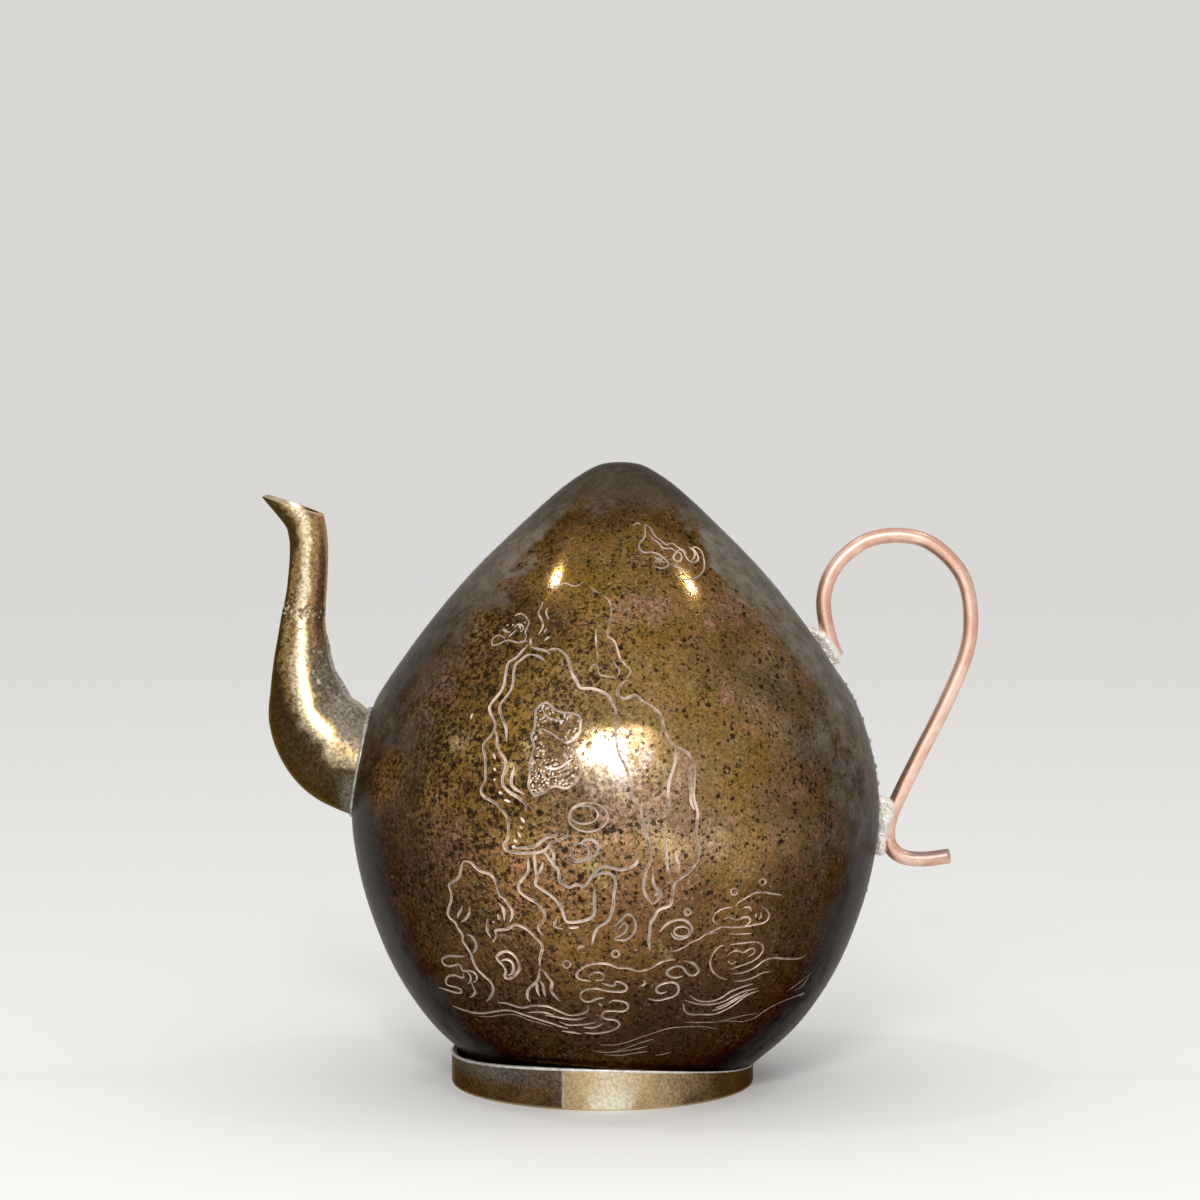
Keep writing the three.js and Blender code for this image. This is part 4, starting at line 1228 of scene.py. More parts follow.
# x, z, half width, half height
roundMarks = [
    (-5.2, 42.6, 3.2, 2.35), (-5.9, 43, 2.3, 1.5), (-6.6, 37, 1.5, 1.4), (9.9, 24, 1.3, 0.8),
    (-8.7, 18.7, 0.65, 0.65), (-0.8, 20.4, 0.6, 0.6), (18.4, 30.5, 0.6, 0.6),
    (23, 32.1, 0.55, 0.55), (10.9, 27.2, 0.6, 0.6),
]


def strokesOf(text):
    for stroke in text.split(";"):
        yield np.array([[float(part) for part in pair.split(",")] for pair in stroke.split()])


def graver(name, points, width, seed, bright=False):
    closed = len(points) > 3 and np.allclose(points[0], points[-1])
    length = np.linalg.norm(np.diff(points, axis=0), axis=1).sum()
    count = max(5, round(length / graving["step"]))
    line = smoothLine(points, count, ease=1, closed=closed)
    if closed:
        line = line[:-1]
    spots = onFront(line)
    normals = peachNormals(spots)
    across = unit(np.cross(normals, directions(spots, closed)))
    sections = []
    taper = min(graving["taper"], length / 3)
    for i, (spot, normal, side) in enumerate(zip(spots, normals, across)):
        run = i * length / (count - 1)
        toEnd = min(1, max(0, min(run, length - run) / taper))
        strength = 1 if closed else graving["endStrength"] + (1 - graving["endStrength"]) * toEnd
        along = Vector((run * graving["unevenPace"], seed * 7.1, 2.3))
        swell = 1 + graving["unevenness"] * noise.noise(along)
        half = width / 2 * strength * swell
        deep = graving["depth"] * strength * swell
        along = Vector((run * graving["wobblePace"], seed * 3.3, 0.5))
        centre = spot + side * graving["wobble"] * noise.noise(along)
        floor = half * graving["floorShare"]
        flare = half + (half - floor) * graving["rise"] / deep
        top = centre + normal * graving["rise"]
        bottom = centre - normal * deep
        sections.append([top - side * flare, top + side * flare,
                         bottom + side * floor, bottom - side * floor])
    tool = loft(name, sections, closed=closed)
    for skin in (grooveSkin, grooveFloorSkin, brightGrooveSkin):
        tool.data.materials.append(skin)
    for face in tool.data.polygons:
        if bright:
            face.material_index = 2
        elif face.index % 4 == 2 and face.index < 4 * (len(sections) - 1):
            face.material_index = 1
    return tool


def caveDots():
    random.seed(5)
    edge = next(strokesOf(cave))
    ahead = np.roll(edge, -1, axis=0)
    made = []
    while len(made) < graving["dots"]:
        spot = np.array([random.uniform(*ends) for ends in graving["dotField"]])
        crosses = (edge[:, 1] > spot[1]) != (ahead[:, 1] > spot[1])
        rise = np.where(crosses, ahead[:, 1] - edge[:, 1], 1)
        at = edge[:, 0] + (spot[1] - edge[:, 1]) / rise * (ahead[:, 0] - edge[:, 0])
        inside = np.count_nonzero(crosses & (at > spot[0])) % 2
        reach = np.linalg.norm(edge - spot, axis=1).min()
        low = spot[0] > graving["dotCorner"][0] and spot[1] < graving["dotCorner"][1]
        if inside and graving["dotMargin"] < reach and (reach < graving["dotBand"] or low):
            turn = random.uniform(*graving["dotTurn"])
            half = random.uniform(*graving["dotLength"]) / 2 * np.array([math.cos(turn), math.sin(turn)])
            made.append(np.array([spot - half, spot, spot + half]))
    return made


def makeGravers():
    group = bpy.data.collections.new("gravers")
    bpy.context.scene.collection.children.link(group)
    tasks = []
    for kind, text in drawing:
        bright = text in (rockDashes, caveLight)
        tasks += [(points, graving["widths"][kind], bright) for points in strokesOf(text)]
    for x, z, wide, high in roundMarks:
        turn = np.linspace(0, 2 * math.pi, 13)
        points = np.column_stack([x + wide * np.cos(turn), z + high * np.sin(turn)])
        tasks.append((points, graving["widths"]["thin"], False))
    tasks += [(points, graving["widths"]["dot"], True) for points in caveDots()]
    for i, (points, width, bright) in enumerate(tasks):
        tool = graver(f"graver{i}", points, width, i, bright)
        bpy.context.scene.collection.objects.unlink(tool)
        group.objects.link(tool)
    return group


def engrave(thing):
    group = makeGravers()
    report(f"{len(group.objects)} gravers made")
    change = thing.modifiers.new("engrave", "BOOLEAN")
    change.operation = "DIFFERENCE"
    change.solver = "MANIFOLD"
    change.operand_type = "COLLECTION"
    change.collection = group
    change.material_mode = "TRANSFER"
    applied(thing)
    for tool in list(group.objects):
        bpy.data.objects.remove(tool)
    bpy.data.collections.remove(group)


frontShell = shellHalf("frontShell", -1)
frontShell.data.materials.append(brassSkin)
report("front shell pressed")
engrave(frontShell)
report(f"front shell engraved, {len(frontShell.data.polygons)} faces")

rearShell = shellHalf("rearShell", 1)
rearShell.data.materials.append(brassSkin)


# The spout

spout = {
    # centre line as x, radius, z
    "route": [
        (-34, 8.2, 49.5), (-38, 8.3, 50), (-41.8, 8.3, 51.3), (-45.4, 8.3, 53.2), (-48.2, 7.9, 56.3),
        (-50, 7, 59.6), (-50.9, 5.7, 63.8), (-51.3, 4.8, 67.2), (-51.3, 4.2, 70.5), (-51.2, 3.6, 74.4),
        (-50.8, 3.3, 77.5), (-50.5, 3.2, 80.2), (-50.2, 3.1, 85.1), (-50.4, 3.1, 88.6),
        (-51.25, 3.3, 91.5), (-54.05, 4.2, 96.4),
    ],
    "depthShare": 0.94,
    "sheet": 0.7,
    "joint": 76.2,
    "bend": -46,  # x beyond which the tube rises
    "sides": 96,
    "steps": 260,
}

spoutSolder = {
    "jointWidth": 1.9,
    "jointRough": (0.16, 0.5, 3),  # height, size, seed
    "jointMargin": 8,  # stops of the line by which the cutting tube is longer
    "seamStart": 59.8,
    "seamEnd": 73.0,
    # share of the way up, radius: a flat pool at the bottom, a thin run, then a crust
    "seamRadii": [(0, 0.3), (0.1, 0.75), (0.24, 0.8), (0.36, 0.45), (0.6, 0.42), (0.8, 0.5), (1, 0.12)],
    "seamSunk": 0.55,  # of its radius
    "seamFlat": 1.8,
    "seamSway": (0.1, 0.2),
    "seamUneven": (0.35, 9),
    "seamRough": (0.1, 0.6, 5),
    "seamMargin": 20,
    "rootEndStop": 170,  # of the lower tube, where it is clear of the body
    "rootFirstStop": 130,
    "rootStops": 220,
    "rootEasings": 6,
    "rootUneven": (0.25, 0.6),
    "rootRadius": 0.34,
    "rootTopGain": 1.3,  # the fillet is this much larger in the corner above the spout
    "rootRough": (0.07, 0.7, 7),
    # a crack beside the joint: from turn, z to turn, z round the front
    "crack": ((-1.86, 72.0), (-1.3, 73.9)),
    "crackRadius": 0.13,
    "crackWave": (0.1, 9),  # size and pace
}

spoutLine = smoothLine(spout["route"], spout["steps"])
spoutCentres = np.column_stack([spoutLine[:, 0], np.zeros(len(spoutLine)), spoutLine[:, 2]])
spoutAhead = unit(directions(spoutCentres))
spoutAcross = np.column_stack([spoutAhead[:, 2], np.zeros(len(spoutLine)), -spoutAhead[:, 0]])
spoutDeep = np.array([0, spout["depthShare"], 0])


def spoutStop(height):
    beyond = int(np.argmax(spoutLine[:, 0] < spout["bend"]))
    return beyond + int(np.argmax(spoutLine[beyond:, 2] > height))


def spoutSweep(name, start, end, extra):
    turn = fullTurn(spout["sides"])[:, None]
    sections = []
    for stop in range(start, end):
        around = np.cos(turn) * spoutAcross[stop] + np.sin(turn) * spoutDeep
        sections.append(spoutCentres[stop] + (spoutLine[stop, 1] + extra) * around)
    return loft(name, sections)


def mouthTool(size=30):
    turn = math.radians(mouth["slope"])
    along = np.array([math.cos(turn), 0, -math.sin(turn)])
    above = np.array([math.sin(turn), 0, math.cos(turn)])
    tip = math.radians(mouth["forward"])
    deep = np.array([0, math.cos(tip), 0]) + math.sin(tip) * above
    above = np.cross(along, deep)
    rings = []
    for lift in (0, size):
        middle = np.array([mouth["at"][0], 0, mouth["at"][1]]) + above * lift
        rings.append([middle + size * (a * along + b * deep)
                      for a, b in ((-1, -1), (1, -1), (1, 1), (-1, 1))])
    return loft("mouth", rings)


def spoutPoint(stop, turn):
    ahead = spoutCentres[min(stop + 1, len(spoutLine) - 1)] - spoutCentres[max(stop - 1, 0)]
    ahead /= np.linalg.norm(ahead)
    across = np.array([ahead[2], 0, -ahead[0]])
    around = math.cos(turn) * across + math.sin(turn) * spoutDeep
    return spoutCentres[stop] + spoutLine[stop, 1] * around


def crackTool():
    (startTurn, low), (endTurn, high) = spoutSolder["crack"]
    size, pace = spoutSolder["crackWave"]
    line = []
    for share in np.linspace(0, 1, 24):
        height = low + share * (high - low)
        wave = size * math.sin(share * pace)
        line.append(spoutPoint(spoutStop(height), startTurn + share * (endTurn - startTurn) + wave))
    line = smoothLine(line, 40, ease=4)
    radii = spoutSolder["crackRadius"] * np.sqrt(np.sin(math.pi * np.linspace(0.04, 0.96, 40)))
    return loft("crack", tubeRings(line, radii, 10))


def innerSideMask(thing):  # how far a point lies towards the body, round the spout's centre line
    mesh = thing.data
    spots = np.array([v.co[:] for v in mesh.vertices]) / mm
    mask = mesh.attributes.new("innerSide", "FLOAT", "POINT")
    values = []
    for spot in spots:
        nearest = int(np.argmin(np.linalg.norm(spoutCentres - spot, axis=1)))
        values.append(float((spot - spoutCentres[nearest]) @ spoutAcross[nearest] / spoutLine[nearest, 1]))
    mask.data.foreach_set("value", values)


jointStop = spoutStop(spout["joint"])
lastStop = len(spoutLine)

spoutLower = spoutSweep("spoutLower", 0, jointStop + 1, 0)
carve(spoutLower, [spoutSweep("bore", 0, lastStop, -spout["sheet"]), bodyTool(), crackTool()])
innerSideMask(spoutLower)
finishPiece(shadeSmooth(spoutLower), spoutSkin, "bright_brass", "spout_lower")

spoutTip = spoutSweep("spoutTip", jointStop, lastStop, 0)
carve(spoutTip, [spoutSweep("bore", 0, lastStop, -spout["sheet"]), mouthTool()])
innerSideMask(spoutTip)
finishPiece(shadeSmooth(spoutTip), spoutSkin, "bright_brass", "spout_tip")

for shell in (frontShell, rearShell):
    carve(shell, [spoutSweep("bore", 0, spoutStop(70), -spout["sheet"])])
    smoothShell(shell)
finishPiece(frontShell, None, "dark_brass", "front_shell")
finishPiece(rearShell, None, "dark_brass", "rear_shell")
report("spout made")


# Solder on the spout

def insidePeach(spot):
    reach = math.hypot(spot[0] - lean(spot[2]), spot[1] / squeeze)
    return reach < np.interp(spot[2], outline[:, 1], outline[:, 0])


def addJointSolder():
    start = spoutStop(spout["joint"] - spoutSolder["jointWidth"] / 2)
    end = spoutStop(spout["joint"] + spoutSolder["jointWidth"] / 2)
    bead = spoutSweep("spoutJointSolder", start, end, 0)
    roughen(bead, *spoutSolder["jointRough"])
    margin = spoutSolder["jointMargin"]
    carve(bead, [spoutSweep("tube", start - margin, end + margin, clearance)])
    return finishPiece(shadeSmooth(bead, 60), jointSkin, "solder", "spout_joint_solder")


def addSeamSolder():
    start = spoutStop(spoutSolder["seamStart"])
    end = spoutStop(spoutSolder["seamEnd"])
    sway, pace = spoutSolder["seamSway"]
    line = np.array([spoutPoint(i, sway * math.sin(i * pace)) for i in range(start, end)])
    line = smoothLine(line, 2 * (end - start), ease=6)
    share = np.linspace(0, 1, len(line))
    uneven, pace = spoutSolder["seamUneven"]
    swell = np.array([1 + uneven * noise.noise(Vector((s * pace, 4.2, 0))) for s in share])
    radii = np.interp(share, *zip(*spoutSolder["seamRadii"])) * swell
    middle = smoothLine(spoutCentres[start:end], len(line))
    line = line + unit(middle - line) * radii[:, None] * spoutSolder["seamSunk"]
    bead = loft("spoutSeamSolder", tubeRings(line, radii, 28, flat=spoutSolder["seamFlat"]))
    roughen(bead, *spoutSolder["seamRough"])
    margin = spoutSolder["seamMargin"]
    carve(bead, [spoutSweep("tube", start - margin, end + margin, clearance)])
    return finishPiece(shadeSmooth(bead, 60), crustSkin, "solder", "spout_seam_solder")


def addRootSolder():
    line = []
    for turn in fullTurn(spoutSolder["rootStops"]):
        stop = spoutSolder["rootFirstStop"]
        while not insidePeach(spoutPoint(stop, turn)):
            stop -= 1
        line.append((spoutPoint(stop, turn) + spoutPoint(stop + 1, turn)) / 2)
    line = np.array(line)
    for _ in range(spoutSolder["rootEasings"]):
        line = (np.roll(line, 1, axis=0) + 2 * line + np.roll(line, -1, axis=0)) / 4
    height = (line[:, 2] - line[:, 2].min()) / np.ptp(line[:, 2])
    uneven, pace = spoutSolder["rootUneven"]
    swell = np.array([1 + uneven * noise.noise(Vector(p * pace)) for p in line])
    radii = spoutSolder["rootRadius"] * (1 + spoutSolder["rootTopGain"] * height ** 3) * swell
    rings = tubeRings(line, radii, 24, up=(1, 0, 0), closed=True)
    bead = loft("spoutBaseSolder", rings, closed=True)
    roughen(bead, *spoutSolder["rootRough"])
    carve(bead, [spoutSweep("tube", 0, spoutSolder["rootEndStop"], clearance), bodyTool()])
    return finishPiece(shadeSmooth(bead, 60), seamSkin, "solder", "spout_base_solder")


addJointSolder()
addSeamSolder()
addRootSolder()
report("solder on the spout made")


# Solder in the seam of the half shells

seam = {
    "width": 0.6,
    "spread": 0.75,  # how far it wets the sheet, across both edges
    "proud": 0.07,
    "sunk": 0.03,
    "edge": 0.005,
    "crown": (0.5, 1.1, 0.9),  # least share of proud, what the unevenness adds, its pace
    "ragged": (0.45, 1.3),
    "shoulder": (0.5, 0.8),  # at this share of the spread it has this share of the crown
    "ending": 0.6,  # below the point, where it thins out
    "overRoot": 12,  # above the lowest place of the spout's tube
    "rootClearance": 0.05,
    "beads": 34,
    "beadLow": 6.0,
    "beadHigh": 66.0,
    "beadSize": (0.16, 0.42),
    "beadOut": 0.08,
    "beadAside": (-0.3, 0.3),
    "beadSquash": (0.5, 1.0),
    "beadRough": (0.0, 0.5),
}


def seamLine(side, low, high):
    z = outline[(outline[:, 1] >= low) & (outline[:, 1] <= high)]
    return np.column_stack([side * z[:, 0] + lean(z[:, 1]), z[:, 1]])


def seamBand(name, line):
    step = unit(directions(line))
    outward = np.column_stack([step[:, 1], -step[:, 0]])
    if (outward[len(line) // 2] @ (line[len(line) // 2] - (0, peach["bellyHeight"]))) < 0:
        outward = -outward
    half, low = seam["width"] / 2, -seam["sunk"]
    least, more, crownPace = seam["crown"]
    ragged, pace = seam["ragged"]
    aside, up = seam["shoulder"]
    sections = []
    for spot, out in zip(line, outward):
        at = Vector((spot[0], spot[1], 1.7))
        crown = seam["proud"] * (least + more * abs(noise.noise(at * crownPace)))
        ending = min(1, (peach["height"] - spot[1]) / seam["ending"])
        crown *= ending
        edge = seam["edge"] * ending
        left = seam["spread"] / 2 * (1 + ragged * noise.noise(at * pace))
        right = seam["spread"] / 2 * (1 + ragged * noise.noise(at * pace + Vector((9, 9, 9))))
        shape = [(-half, -peach["sheet"]), (half, -peach["sheet"]), (half, low), (right, low),
                 (right, edge), (right * aside, crown * up), (0, crown), (-left * aside, crown * up),
                 (-left, edge), (-left, low), (-half, low)]
        sections.append([(spot[0] + out[0] * o, y, spot[1] + out[1] * o) for y, o in shape])
    return loft(name, sections)


def addSeamBeads(band):  # loose drops of solder stand along the right side
    random.seed(11)
    edge = seamLine(1, seam["beadLow"], seam["beadHigh"])
    shape = bmesh.new()
    shape.from_mesh(band.data)
    for _ in range(seam["beads"]):
        spot = edge[random.randrange(len(edge))]
        size = random.uniform(*seam["beadSize"])
        made = bmesh.ops.create_icosphere(shape, subdivisions=2, radius=size * mm)
        squash = random.uniform(*seam["beadSquash"])
        shift = Vector((spot[0] + seam["beadOut"], random.uniform(*seam["beadAside"]), spot[1])) * mm
        for v in made["verts"]:
            v.co.z *= 1 + random.uniform(*seam["beadRough"])
            v.co.x *= squash
            v.co += shift
    shape.to_mesh(band.data)
    shape.free()


def addSeams():
    rootHeight = spout["route"][2][2]
    right = seamLine(1, peach["baseHeight"], peach["height"])
    left = seamLine(-1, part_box("spout_lower")[0][2] / mm + seam["overRoot"], peach["height"])
    over = seamBand("seamOverPoint", smoothLine(np.vstack([right, left[::-1][1:]]), 900))
    addSeamBeads(over)
    under = seamBand("seamUnderSpout", smoothLine(seamLine(-1, peach["baseHeight"], rootHeight), 260))
    for band, node in ((over, "seam_over_point"), (under, "seam_under_spout")):
        carve(band, [spoutSweep("root", 0, spoutSolder["rootEndStop"], seam["rootClearance"])])
        finishPiece(shadeSmooth(band, 50), seamSkin, "solder", node)


addSeams()
report("seams made")


# The handle and its solder

handle = {
    "diameter": 2.4,
    # x and z of the wire's centre line
    "route": [
        (34.9, 68.6), (33.9, 71), (32.9, 75.4), (32.9, 79), (34.2, 82.5), (36.6, 85.3),
        (40.1, 87.5), (44.7, 88.2), (49.2, 87.3), (53.1, 84.4), (55.65, 80.4), (56.5, 74.7),
        (55.7, 68.9), (52.5, 61.1), (48.6, 53.3), (44.9, 45.7), (43.4, 41.6), (43.5, 38.3),
        (45.4, 36.3), (48.9, 35.8), (53.3, 36.3),
    ],
    "sides": 40,
    "steps": 520,
    "endRound": 0.35,
    "endStops": 6,
    "endShares": (0.84, 0.94, 0.985),  # of the radius, from each end inwards
    "uneven": (0.012, 0.05),
}

# each web of solder is the skin over its drops: x, z, radius, half depth
lumps = {
    "handle_upper_solder": [
        [(30.3, 72.9, 0.6, 1.0), (32.2, 72.2, 0.8, 1.9), (33.4, 71.0, 0.9, 2.15), (34.3, 69.4, 0.95, 2.15),
         (34.8, 68.4, 0.9, 2.05), (34.1, 67.7, 0.7, 1.7), (31.5, 70.3, 0.6, 1.0)],
    ],
    "handle_lower_solder": [
        [(41.6, 45.8, 0.5, 1.2), (43.5, 45.1, 0.6, 1.5), (43.8, 43.9, 0.75, 1.6), (43.4, 42.5, 0.75, 1.6),
         (42.3, 41.2, 0.8, 1.7), (41.2, 42.0, 0.6, 1.3)],
        [(43.0, 42.3, 0.85, 1.65), (42.6, 40.6, 0.85, 1.6), (42.2, 38.2, 0.85, 1.5),
         (42.2, 37.2, 0.75, 1.25), (41.2, 37.2, 0.7, 1.2), (41.0, 41.5, 0.6, 1.2)],
    ],
}

melting = {
    "grain": 0.13,
    "easings": 14,
    "rough": [(0.12, 1.3), (0.11, 0.42)],
}


def addWire():
    line = smoothLine([(x, 0, z) for x, z in handle["route"]], handle["steps"])
    radius = handle["diameter"] / 2
    radii = np.full(len(line), radius)
    uneven, pace = handle["uneven"]
    radii *= [1 + uneven * noise.noise(Vector((i * pace, 0, 3))) for i in range(len(line))]
    soft, stops = handle["endRound"], handle["endStops"]
    for end, step in ((0, 1), (-1, -1)):
        for i, share in enumerate(handle["endShares"]):
            line[end + step * i] = line[end] + (line[end + step * stops] - line[end]) * i * soft / stops
            radii[end + step * i] = radius * share
    wire = loft("handleWire", tubeRings(line, radii, handle["sides"]))
    return finishPiece(shadeSmooth(wire, 50), wireSkin, "copper_wire", "handle_wire")


def addWeb(shape, drops):
    skin = bmesh.new()
    for x, z, radius, deep in drops:
        drop = bmesh.ops.create_icosphere(skin, subdivisions=3, radius=1)
        for v in drop["verts"]:
            v.co = Vector((x + v.co.x * radius, v.co.y * deep, z + v.co.z * radius)) * mm
    bmesh.ops.delete(skin, geom=skin.edges[:], context="EDGES_FACES")
    bmesh.ops.convex_hull(skin, input=skin.verts[:])
    bmesh.ops.delete(skin, geom=[v for v in skin.verts if not v.link_faces], context="VERTS")
    mesh = bpy.data.meshes.new("web")
    skin.to_mesh(mesh)
    skin.free()
    shape.from_mesh(mesh)
    bpy.data.meshes.remove(mesh)


def addLump(name, node, wire, seed):
    shape = bmesh.new()
    for drops in lumps[node]:
        addWeb(shape, drops)
    lump = makeObject(name, [(0, 0, 0)], [])
    shape.to_mesh(lump.data)
    shape.free()
    melt = lump.modifiers.new("melt", "REMESH")
    melt.mode = "VOXEL"
    melt.voxel_size = melting["grain"] * mm
    ease = lump.modifiers.new("ease", "SMOOTH")
    ease.iterations = melting["easings"]
    applied(lump)
    for i, (height, size) in enumerate(melting["rough"]):
        roughen(lump, height, size, seed + i)
    carve(lump, [bodyTool()])
    carve(lump, [wire], keep=True)
    return finishPiece(shadeSmooth(lump, 70), lumpSkin, "solder", node)


handleWire = addWire()
addLump("handleUpperSolder", "handle_upper_solder", handleWire, 2)
addLump("handleLowerSolder", "handle_lower_solder", handleWire, 9)
report("handle made")


# The foot ring, the base and the filling tube

foot = {
    "radius": 24.4,
    "centre": -2.9,
    "sheet": 0.9,
    "height": 5.15,
    "fall": 0.65,
    "dish": 1.0,
    "buttAngle": -104.4,
    "buttWidth": 0.3,
    "bead": 0.27,
    "beadSunk": 0.18,
    "jointSunk": 0.1,  # at the face of the ring, and a little more inside and on top
    "jointThinner": 0.16,
    "jointLower": 0.15,
    "jointRough": (0.04, 0.4, 4),
    "sides": 320,
    "wander": 0.05,
    "chips": 0.07,
}

discLow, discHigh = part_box("base_disc")
tubeLow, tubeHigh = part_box("fill_tube")
base = {
    "under": discLow[2] / mm,
    "top": discHigh[2] / mm,
    "radius": (discHigh[0] - discLow[0]) / 2 / mm,
    "tubeFoot": (tubeHigh[0] - tubeLow[0]) / 2 / mm,
    "tubeTop": tubeHigh[2] / mm,
    "tubeTopRadius": 4.1,
    "tubeSheet": 0.6,
    "collar": 0.9,
}


def footTop(turn):
    return foot["height"] - foot["fall"] * math.cos(turn) - foot["dish"] * math.cos(2 * turn)


def underBody(x, y):
    reach = math.hypot(x - peach["bellyShift"], y / squeeze)
    low = outline[:np.argmax(outline[:, 0])]
    return float(np.interp(reach, low[:, 0], low[:, 1]))


def footEdge(turn):
    x, y = foot["centre"] + foot["radius"] * math.cos(turn), foot["radius"] * math.sin(turn)
    return min(footTop(turn), underBody(x, y))


def ringSections(start, end, sides, radius, sheet, rise=0.0):
    sections = []
    for turn in np.linspace(start, end, sides):
        at = Vector((math.cos(turn) * 2, math.sin(turn) * 2, 0.4))
        r = radius + foot["wander"] * noise.noise(at)
        top = footTop(turn) + rise
        chipped = foot["chips"] * max(0, noise.noise(at * 6))
        outer = [(r, z) for z in np.linspace(0.45, top - 0.3, 9)]
        inner = [(r - sheet, z) for z in np.linspace(top - 0.2, 0.3, 5)]
        section = [(r - sheet + 0.16, 0.0), (r - 0.3, 0.0), (r - 0.1 - chipped, 0.04),
                   (r - 0.02, 0.2 + chipped), *outer, (r - 0.03, top - 0.1), (r - 0.14, top - 0.02),
                   (r - 0.3, top), (r - sheet + 0.14, top), *inner, (r - sheet, 0.12)]
        sections.append([(foot["centre"] + q * math.cos(turn), q * math.sin(turn), z) for q, z in section])
    return sections


def addFoot():
    butt = math.radians(foot["buttAngle"])
    gap = foot["buttWidth"] / foot["radius"] / 2
    ends = (butt + gap, butt + 2 * math.pi - gap)
    ring = loft("footRing", ringSections(*ends, foot["sides"], foot["radius"], foot["sheet"]))
    carve(ring, [bodyTool()])
    finishPiece(shadeSmooth(ring, 40), footSkin, "foot_brass", "foot_ring")

    sections = ringSections(butt - gap * 0.98, butt + gap * 0.98, 6, foot["radius"] - foot["jointSunk"],
                            foot["sheet"] - foot["jointThinner"], -foot["jointLower"])
    joint = loft("footRingJoint", sections)
    roughen(joint, *foot["jointRough"])
    carve(joint, [bodyTool()])
    for v in joint.data.vertices:
        v.co.z = max(v.co.z, 0)
    finishPiece(shadeSmooth(joint, 50), crustSkin, "solder", "foot_ring_joint")

    sections = []
    for turn in fullTurn(420):
        at = Vector((math.cos(turn) * 9, math.sin(turn) * 9, 2.2))
        radius = foot["bead"] * (1 + 0.2 * noise.noise(at) + 0.08 * noise.noise(at * 4))
        section = []
        for a in fullTurn(14):
            r = foot["radius"] - foot["beadSunk"] + radius * math.cos(a)
            z = footEdge(turn) + clearance + radius * math.sin(a)
            section.append((foot["centre"] + r * math.cos(turn), r * math.sin(turn), z))
        sections.append(section)
    bead = loft("footSolder", sections, closed=True)
    carve(bead, [bodyTool()])
    carve(bead, [ring], keep=True)
    finishPiece(shadeSmooth(bead, 60), brightSolderSkin, "solder", "foot_solder")


def turned(name, outlinePoints, sides):
    sections = []
    for turn in fullTurn(sides):
        sections.append([(foot["centre"] + r * math.cos(turn), r * math.sin(turn), z)
                         for r, z in outlinePoints])
    return loft(name, sections, closed=True)


def addBase():
    low, high = base["under"], base["top"]
    hole = base["tubeFoot"] + 0.05
    disc = turned("baseDisc", [
        (hole + 0.1, low), (base["radius"] * 0.5, low + 0.05), (base["radius"] - 0.15, low),
        (base["radius"], low + 0.12), (base["radius"], high - 0.12), (base["radius"] - 0.15, high),
        (hole + 0.1, high), (hole, high - 0.1), (hole, low + 0.1),
    ], 220)
    finishPiece(shadeSmooth(disc, 40), footSkin, "foot_brass", "base_disc")

    wide, narrow, sheet, top = base["tubeFoot"], base["tubeTopRadius"], base["tubeSheet"], base["tubeTop"]
    heights = np.linspace(low + 0.15, top - 0.15, 40)
    outer = [(np.interp(z, (low, top), (wide, narrow)), z) for z in heights]
    inner = [(r - sheet, z) for r, z in reversed(outer)]
    tube = turned("fillTube", [
        (wide - sheet + 0.12, low), (wide - 0.12, low), *outer, (narrow - 0.12, top),
        (narrow - sheet + 0.12, top), *inner,
    ], 96)
    finishPiece(shadeSmooth(tube, 40), innerSkin, "inner_brass", "fill_tube")

    size = base["collar"]
    corner = [(wide + 0.03, high + 0.02), (wide + 0.03 + size, high + 0.02)]
    hollow = [(wide + 0.03 + size - size * math.sin(a), high + 0.12 + size - size * math.cos(a))
              for a in np.linspace(0, math.pi / 2 * 0.94, 8)]
    collar = turned("fillCollar", corner + hollow, 160)
    finishPiece(shadeSmooth(collar, 60), lumpSkin, "solder", "fill_collar")


addFoot()
addBase()
report("foot and base made")


# Floor, lamps and camera

studio = {
    "floor": (0.82, 0.81, 0.79),
    "background": (0.7, 0.69, 0.672),
    "fill": 0.85,
    "floorReach": 30000,  # mm
    "floorSteps": 8,
}

lamps = {
    # where the body shows its highlight (x, z in mm), distance, size across and along, power
    "key": ((-2.3, 54.7), 0.55, 0.1, 0.09, 1.0),
    "keyTail": ((-5.3, 53.2), 0.55, 0.065, 0.04, 0.2),
    "keyFoot": ((-0.7, 51.6), 0.55, 0.035, 0.05, 0.13),
    "innerGlow": ((1.9, 55.7), 0.6, 0.17, 0.15, 0.095),
    "middleGlow": ((2.6, 53.4), 0.6, 0.26, 0.24, 0.08),
    "outerGlow": ((2.8, 50.5), 0.6, 0.42, 0.38, 0.1),
    "leftLamp": ((-10.2, 81.8), 0.8, 0.05, 0.014, 0.4),
    "rightLamp": ((10.8, 80.8), 0.8, 0.009, 0.06, 0.25),
}


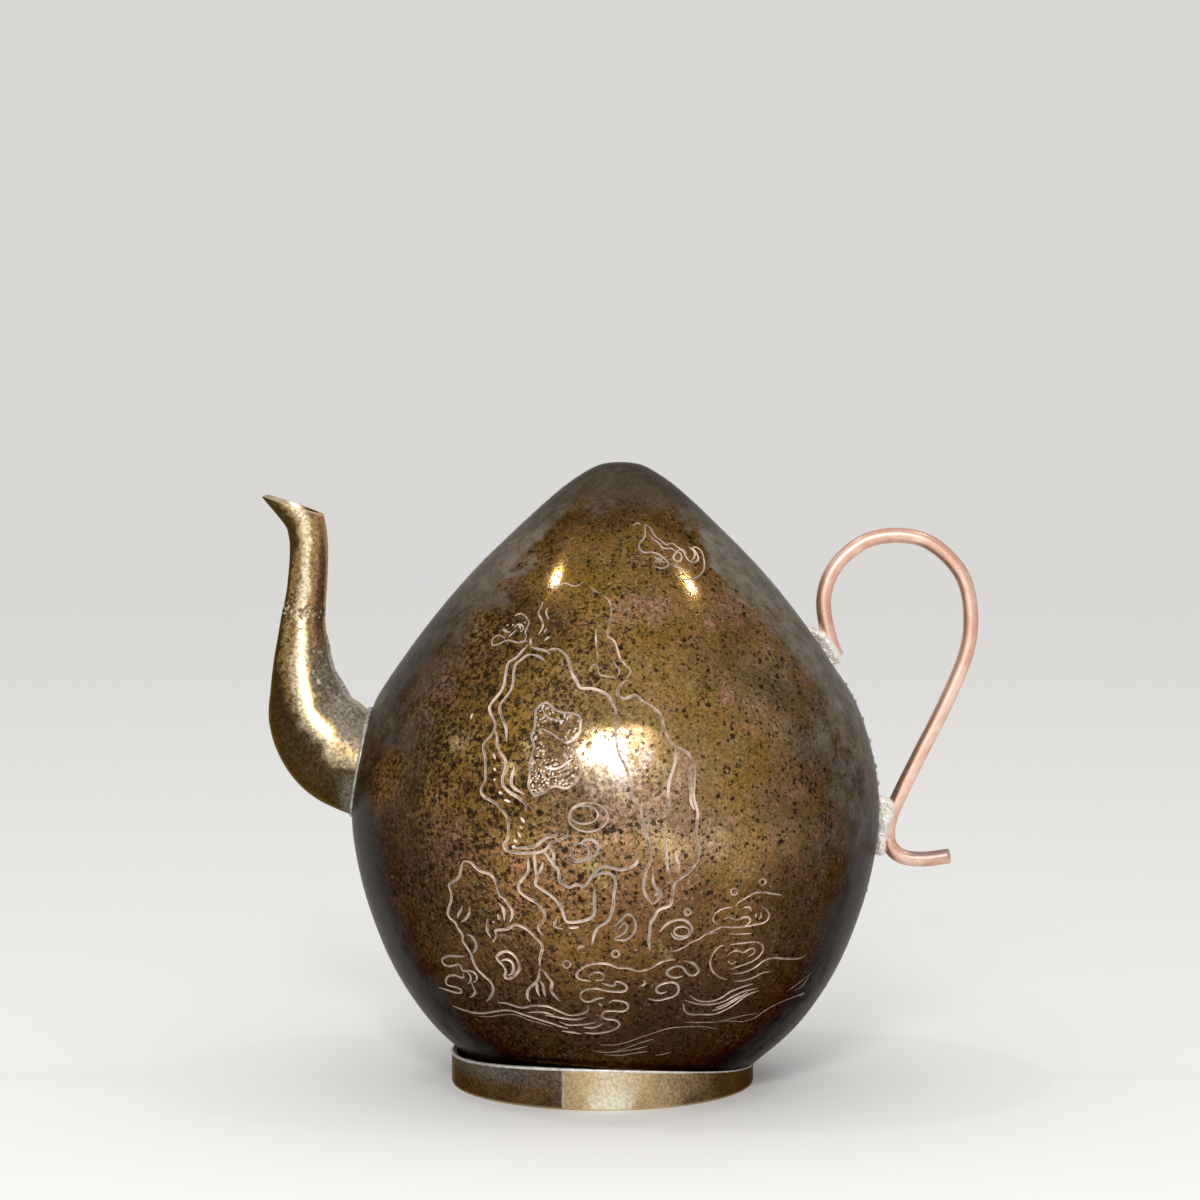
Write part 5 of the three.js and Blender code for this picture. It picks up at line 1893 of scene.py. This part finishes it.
def addFloor():
    count = studio["floorSteps"]
    steps = np.linspace(-1, 1, count + 1) ** 3 * studio["floorReach"]
    corners = [(x, y, 0) for y in steps for x in steps]
    starts = [(count + 1) * i + k for i in range(count) for k in range(count)]
    faces = [(a, a + 1, a + count + 2, a + count + 1) for a in starts]
    floor = makeObject("floor", corners, faces)
    values = {"Base_Color": studio["floor"], "Roughness": 0.9, "Specular_IOR_Level": 0.1}
    floor.data.materials.append(newMaterial("paleFloor", **values)[0])


def lightWorld():
    world = bpy.data.worlds.new("studio")
    bpy.context.scene.world = world
    world.use_nodes = True
    world.node_tree.nodes.clear()
    net = Net(world.node_tree)
    shown = net.put("Background", {"Color": studio["background"], "Strength": 1.0})
    fill = net.put("Background", {"Color": (1, 1, 1), "Strength": studio["fill"]})
    path = net.put("LightPath")
    seen = net.most(path.outputs["Is Camera Ray"], path.outputs["Is Glossy Ray"])
    seen = net.most(seen, path.outputs["Is Transmission Ray"])
    mixed = net.put("MixShader", {0: seen, 1: fill.outputs[0], 2: shown.outputs[0]})
    net.put("OutputWorld", {"Surface": mixed.outputs[0]})


def mirroredPlace(x, z, distance):  # from where a lamp is seen at that point of the front
    spot = onFront(np.array([(x, z)], float))[0]
    normal = peachNormals(spot)[0]
    ahead = spot - np.array(view["place"])
    ahead /= np.linalg.norm(ahead)
    away = ahead - 2 * (ahead @ normal) * normal
    return spot * mm, spot * mm + away * distance


def addLamps():
    for name, (shown, distance, across, along, power) in lamps.items():
        spot, place = mirroredPlace(*shown, distance)
        lamp = bpy.data.lights.new(name, "AREA")
        lamp.shape = "ELLIPSE"
        lamp.size = across
        lamp.size_y = along
        lamp.energy = power
        holder = bpy.data.objects.new(name, lamp)
        holder.location = place
        holder.rotation_euler = Vector(spot - place).to_track_quat("-Z", "Y").to_euler()
        bpy.context.scene.collection.objects.link(holder)
        report(f"{name} at {np.round(place, 3)}")


addFloor()
lightWorld()
addLamps()
addCamera()
bpy.context.scene.view_settings.view_transform = "Standard"
report("studio set")
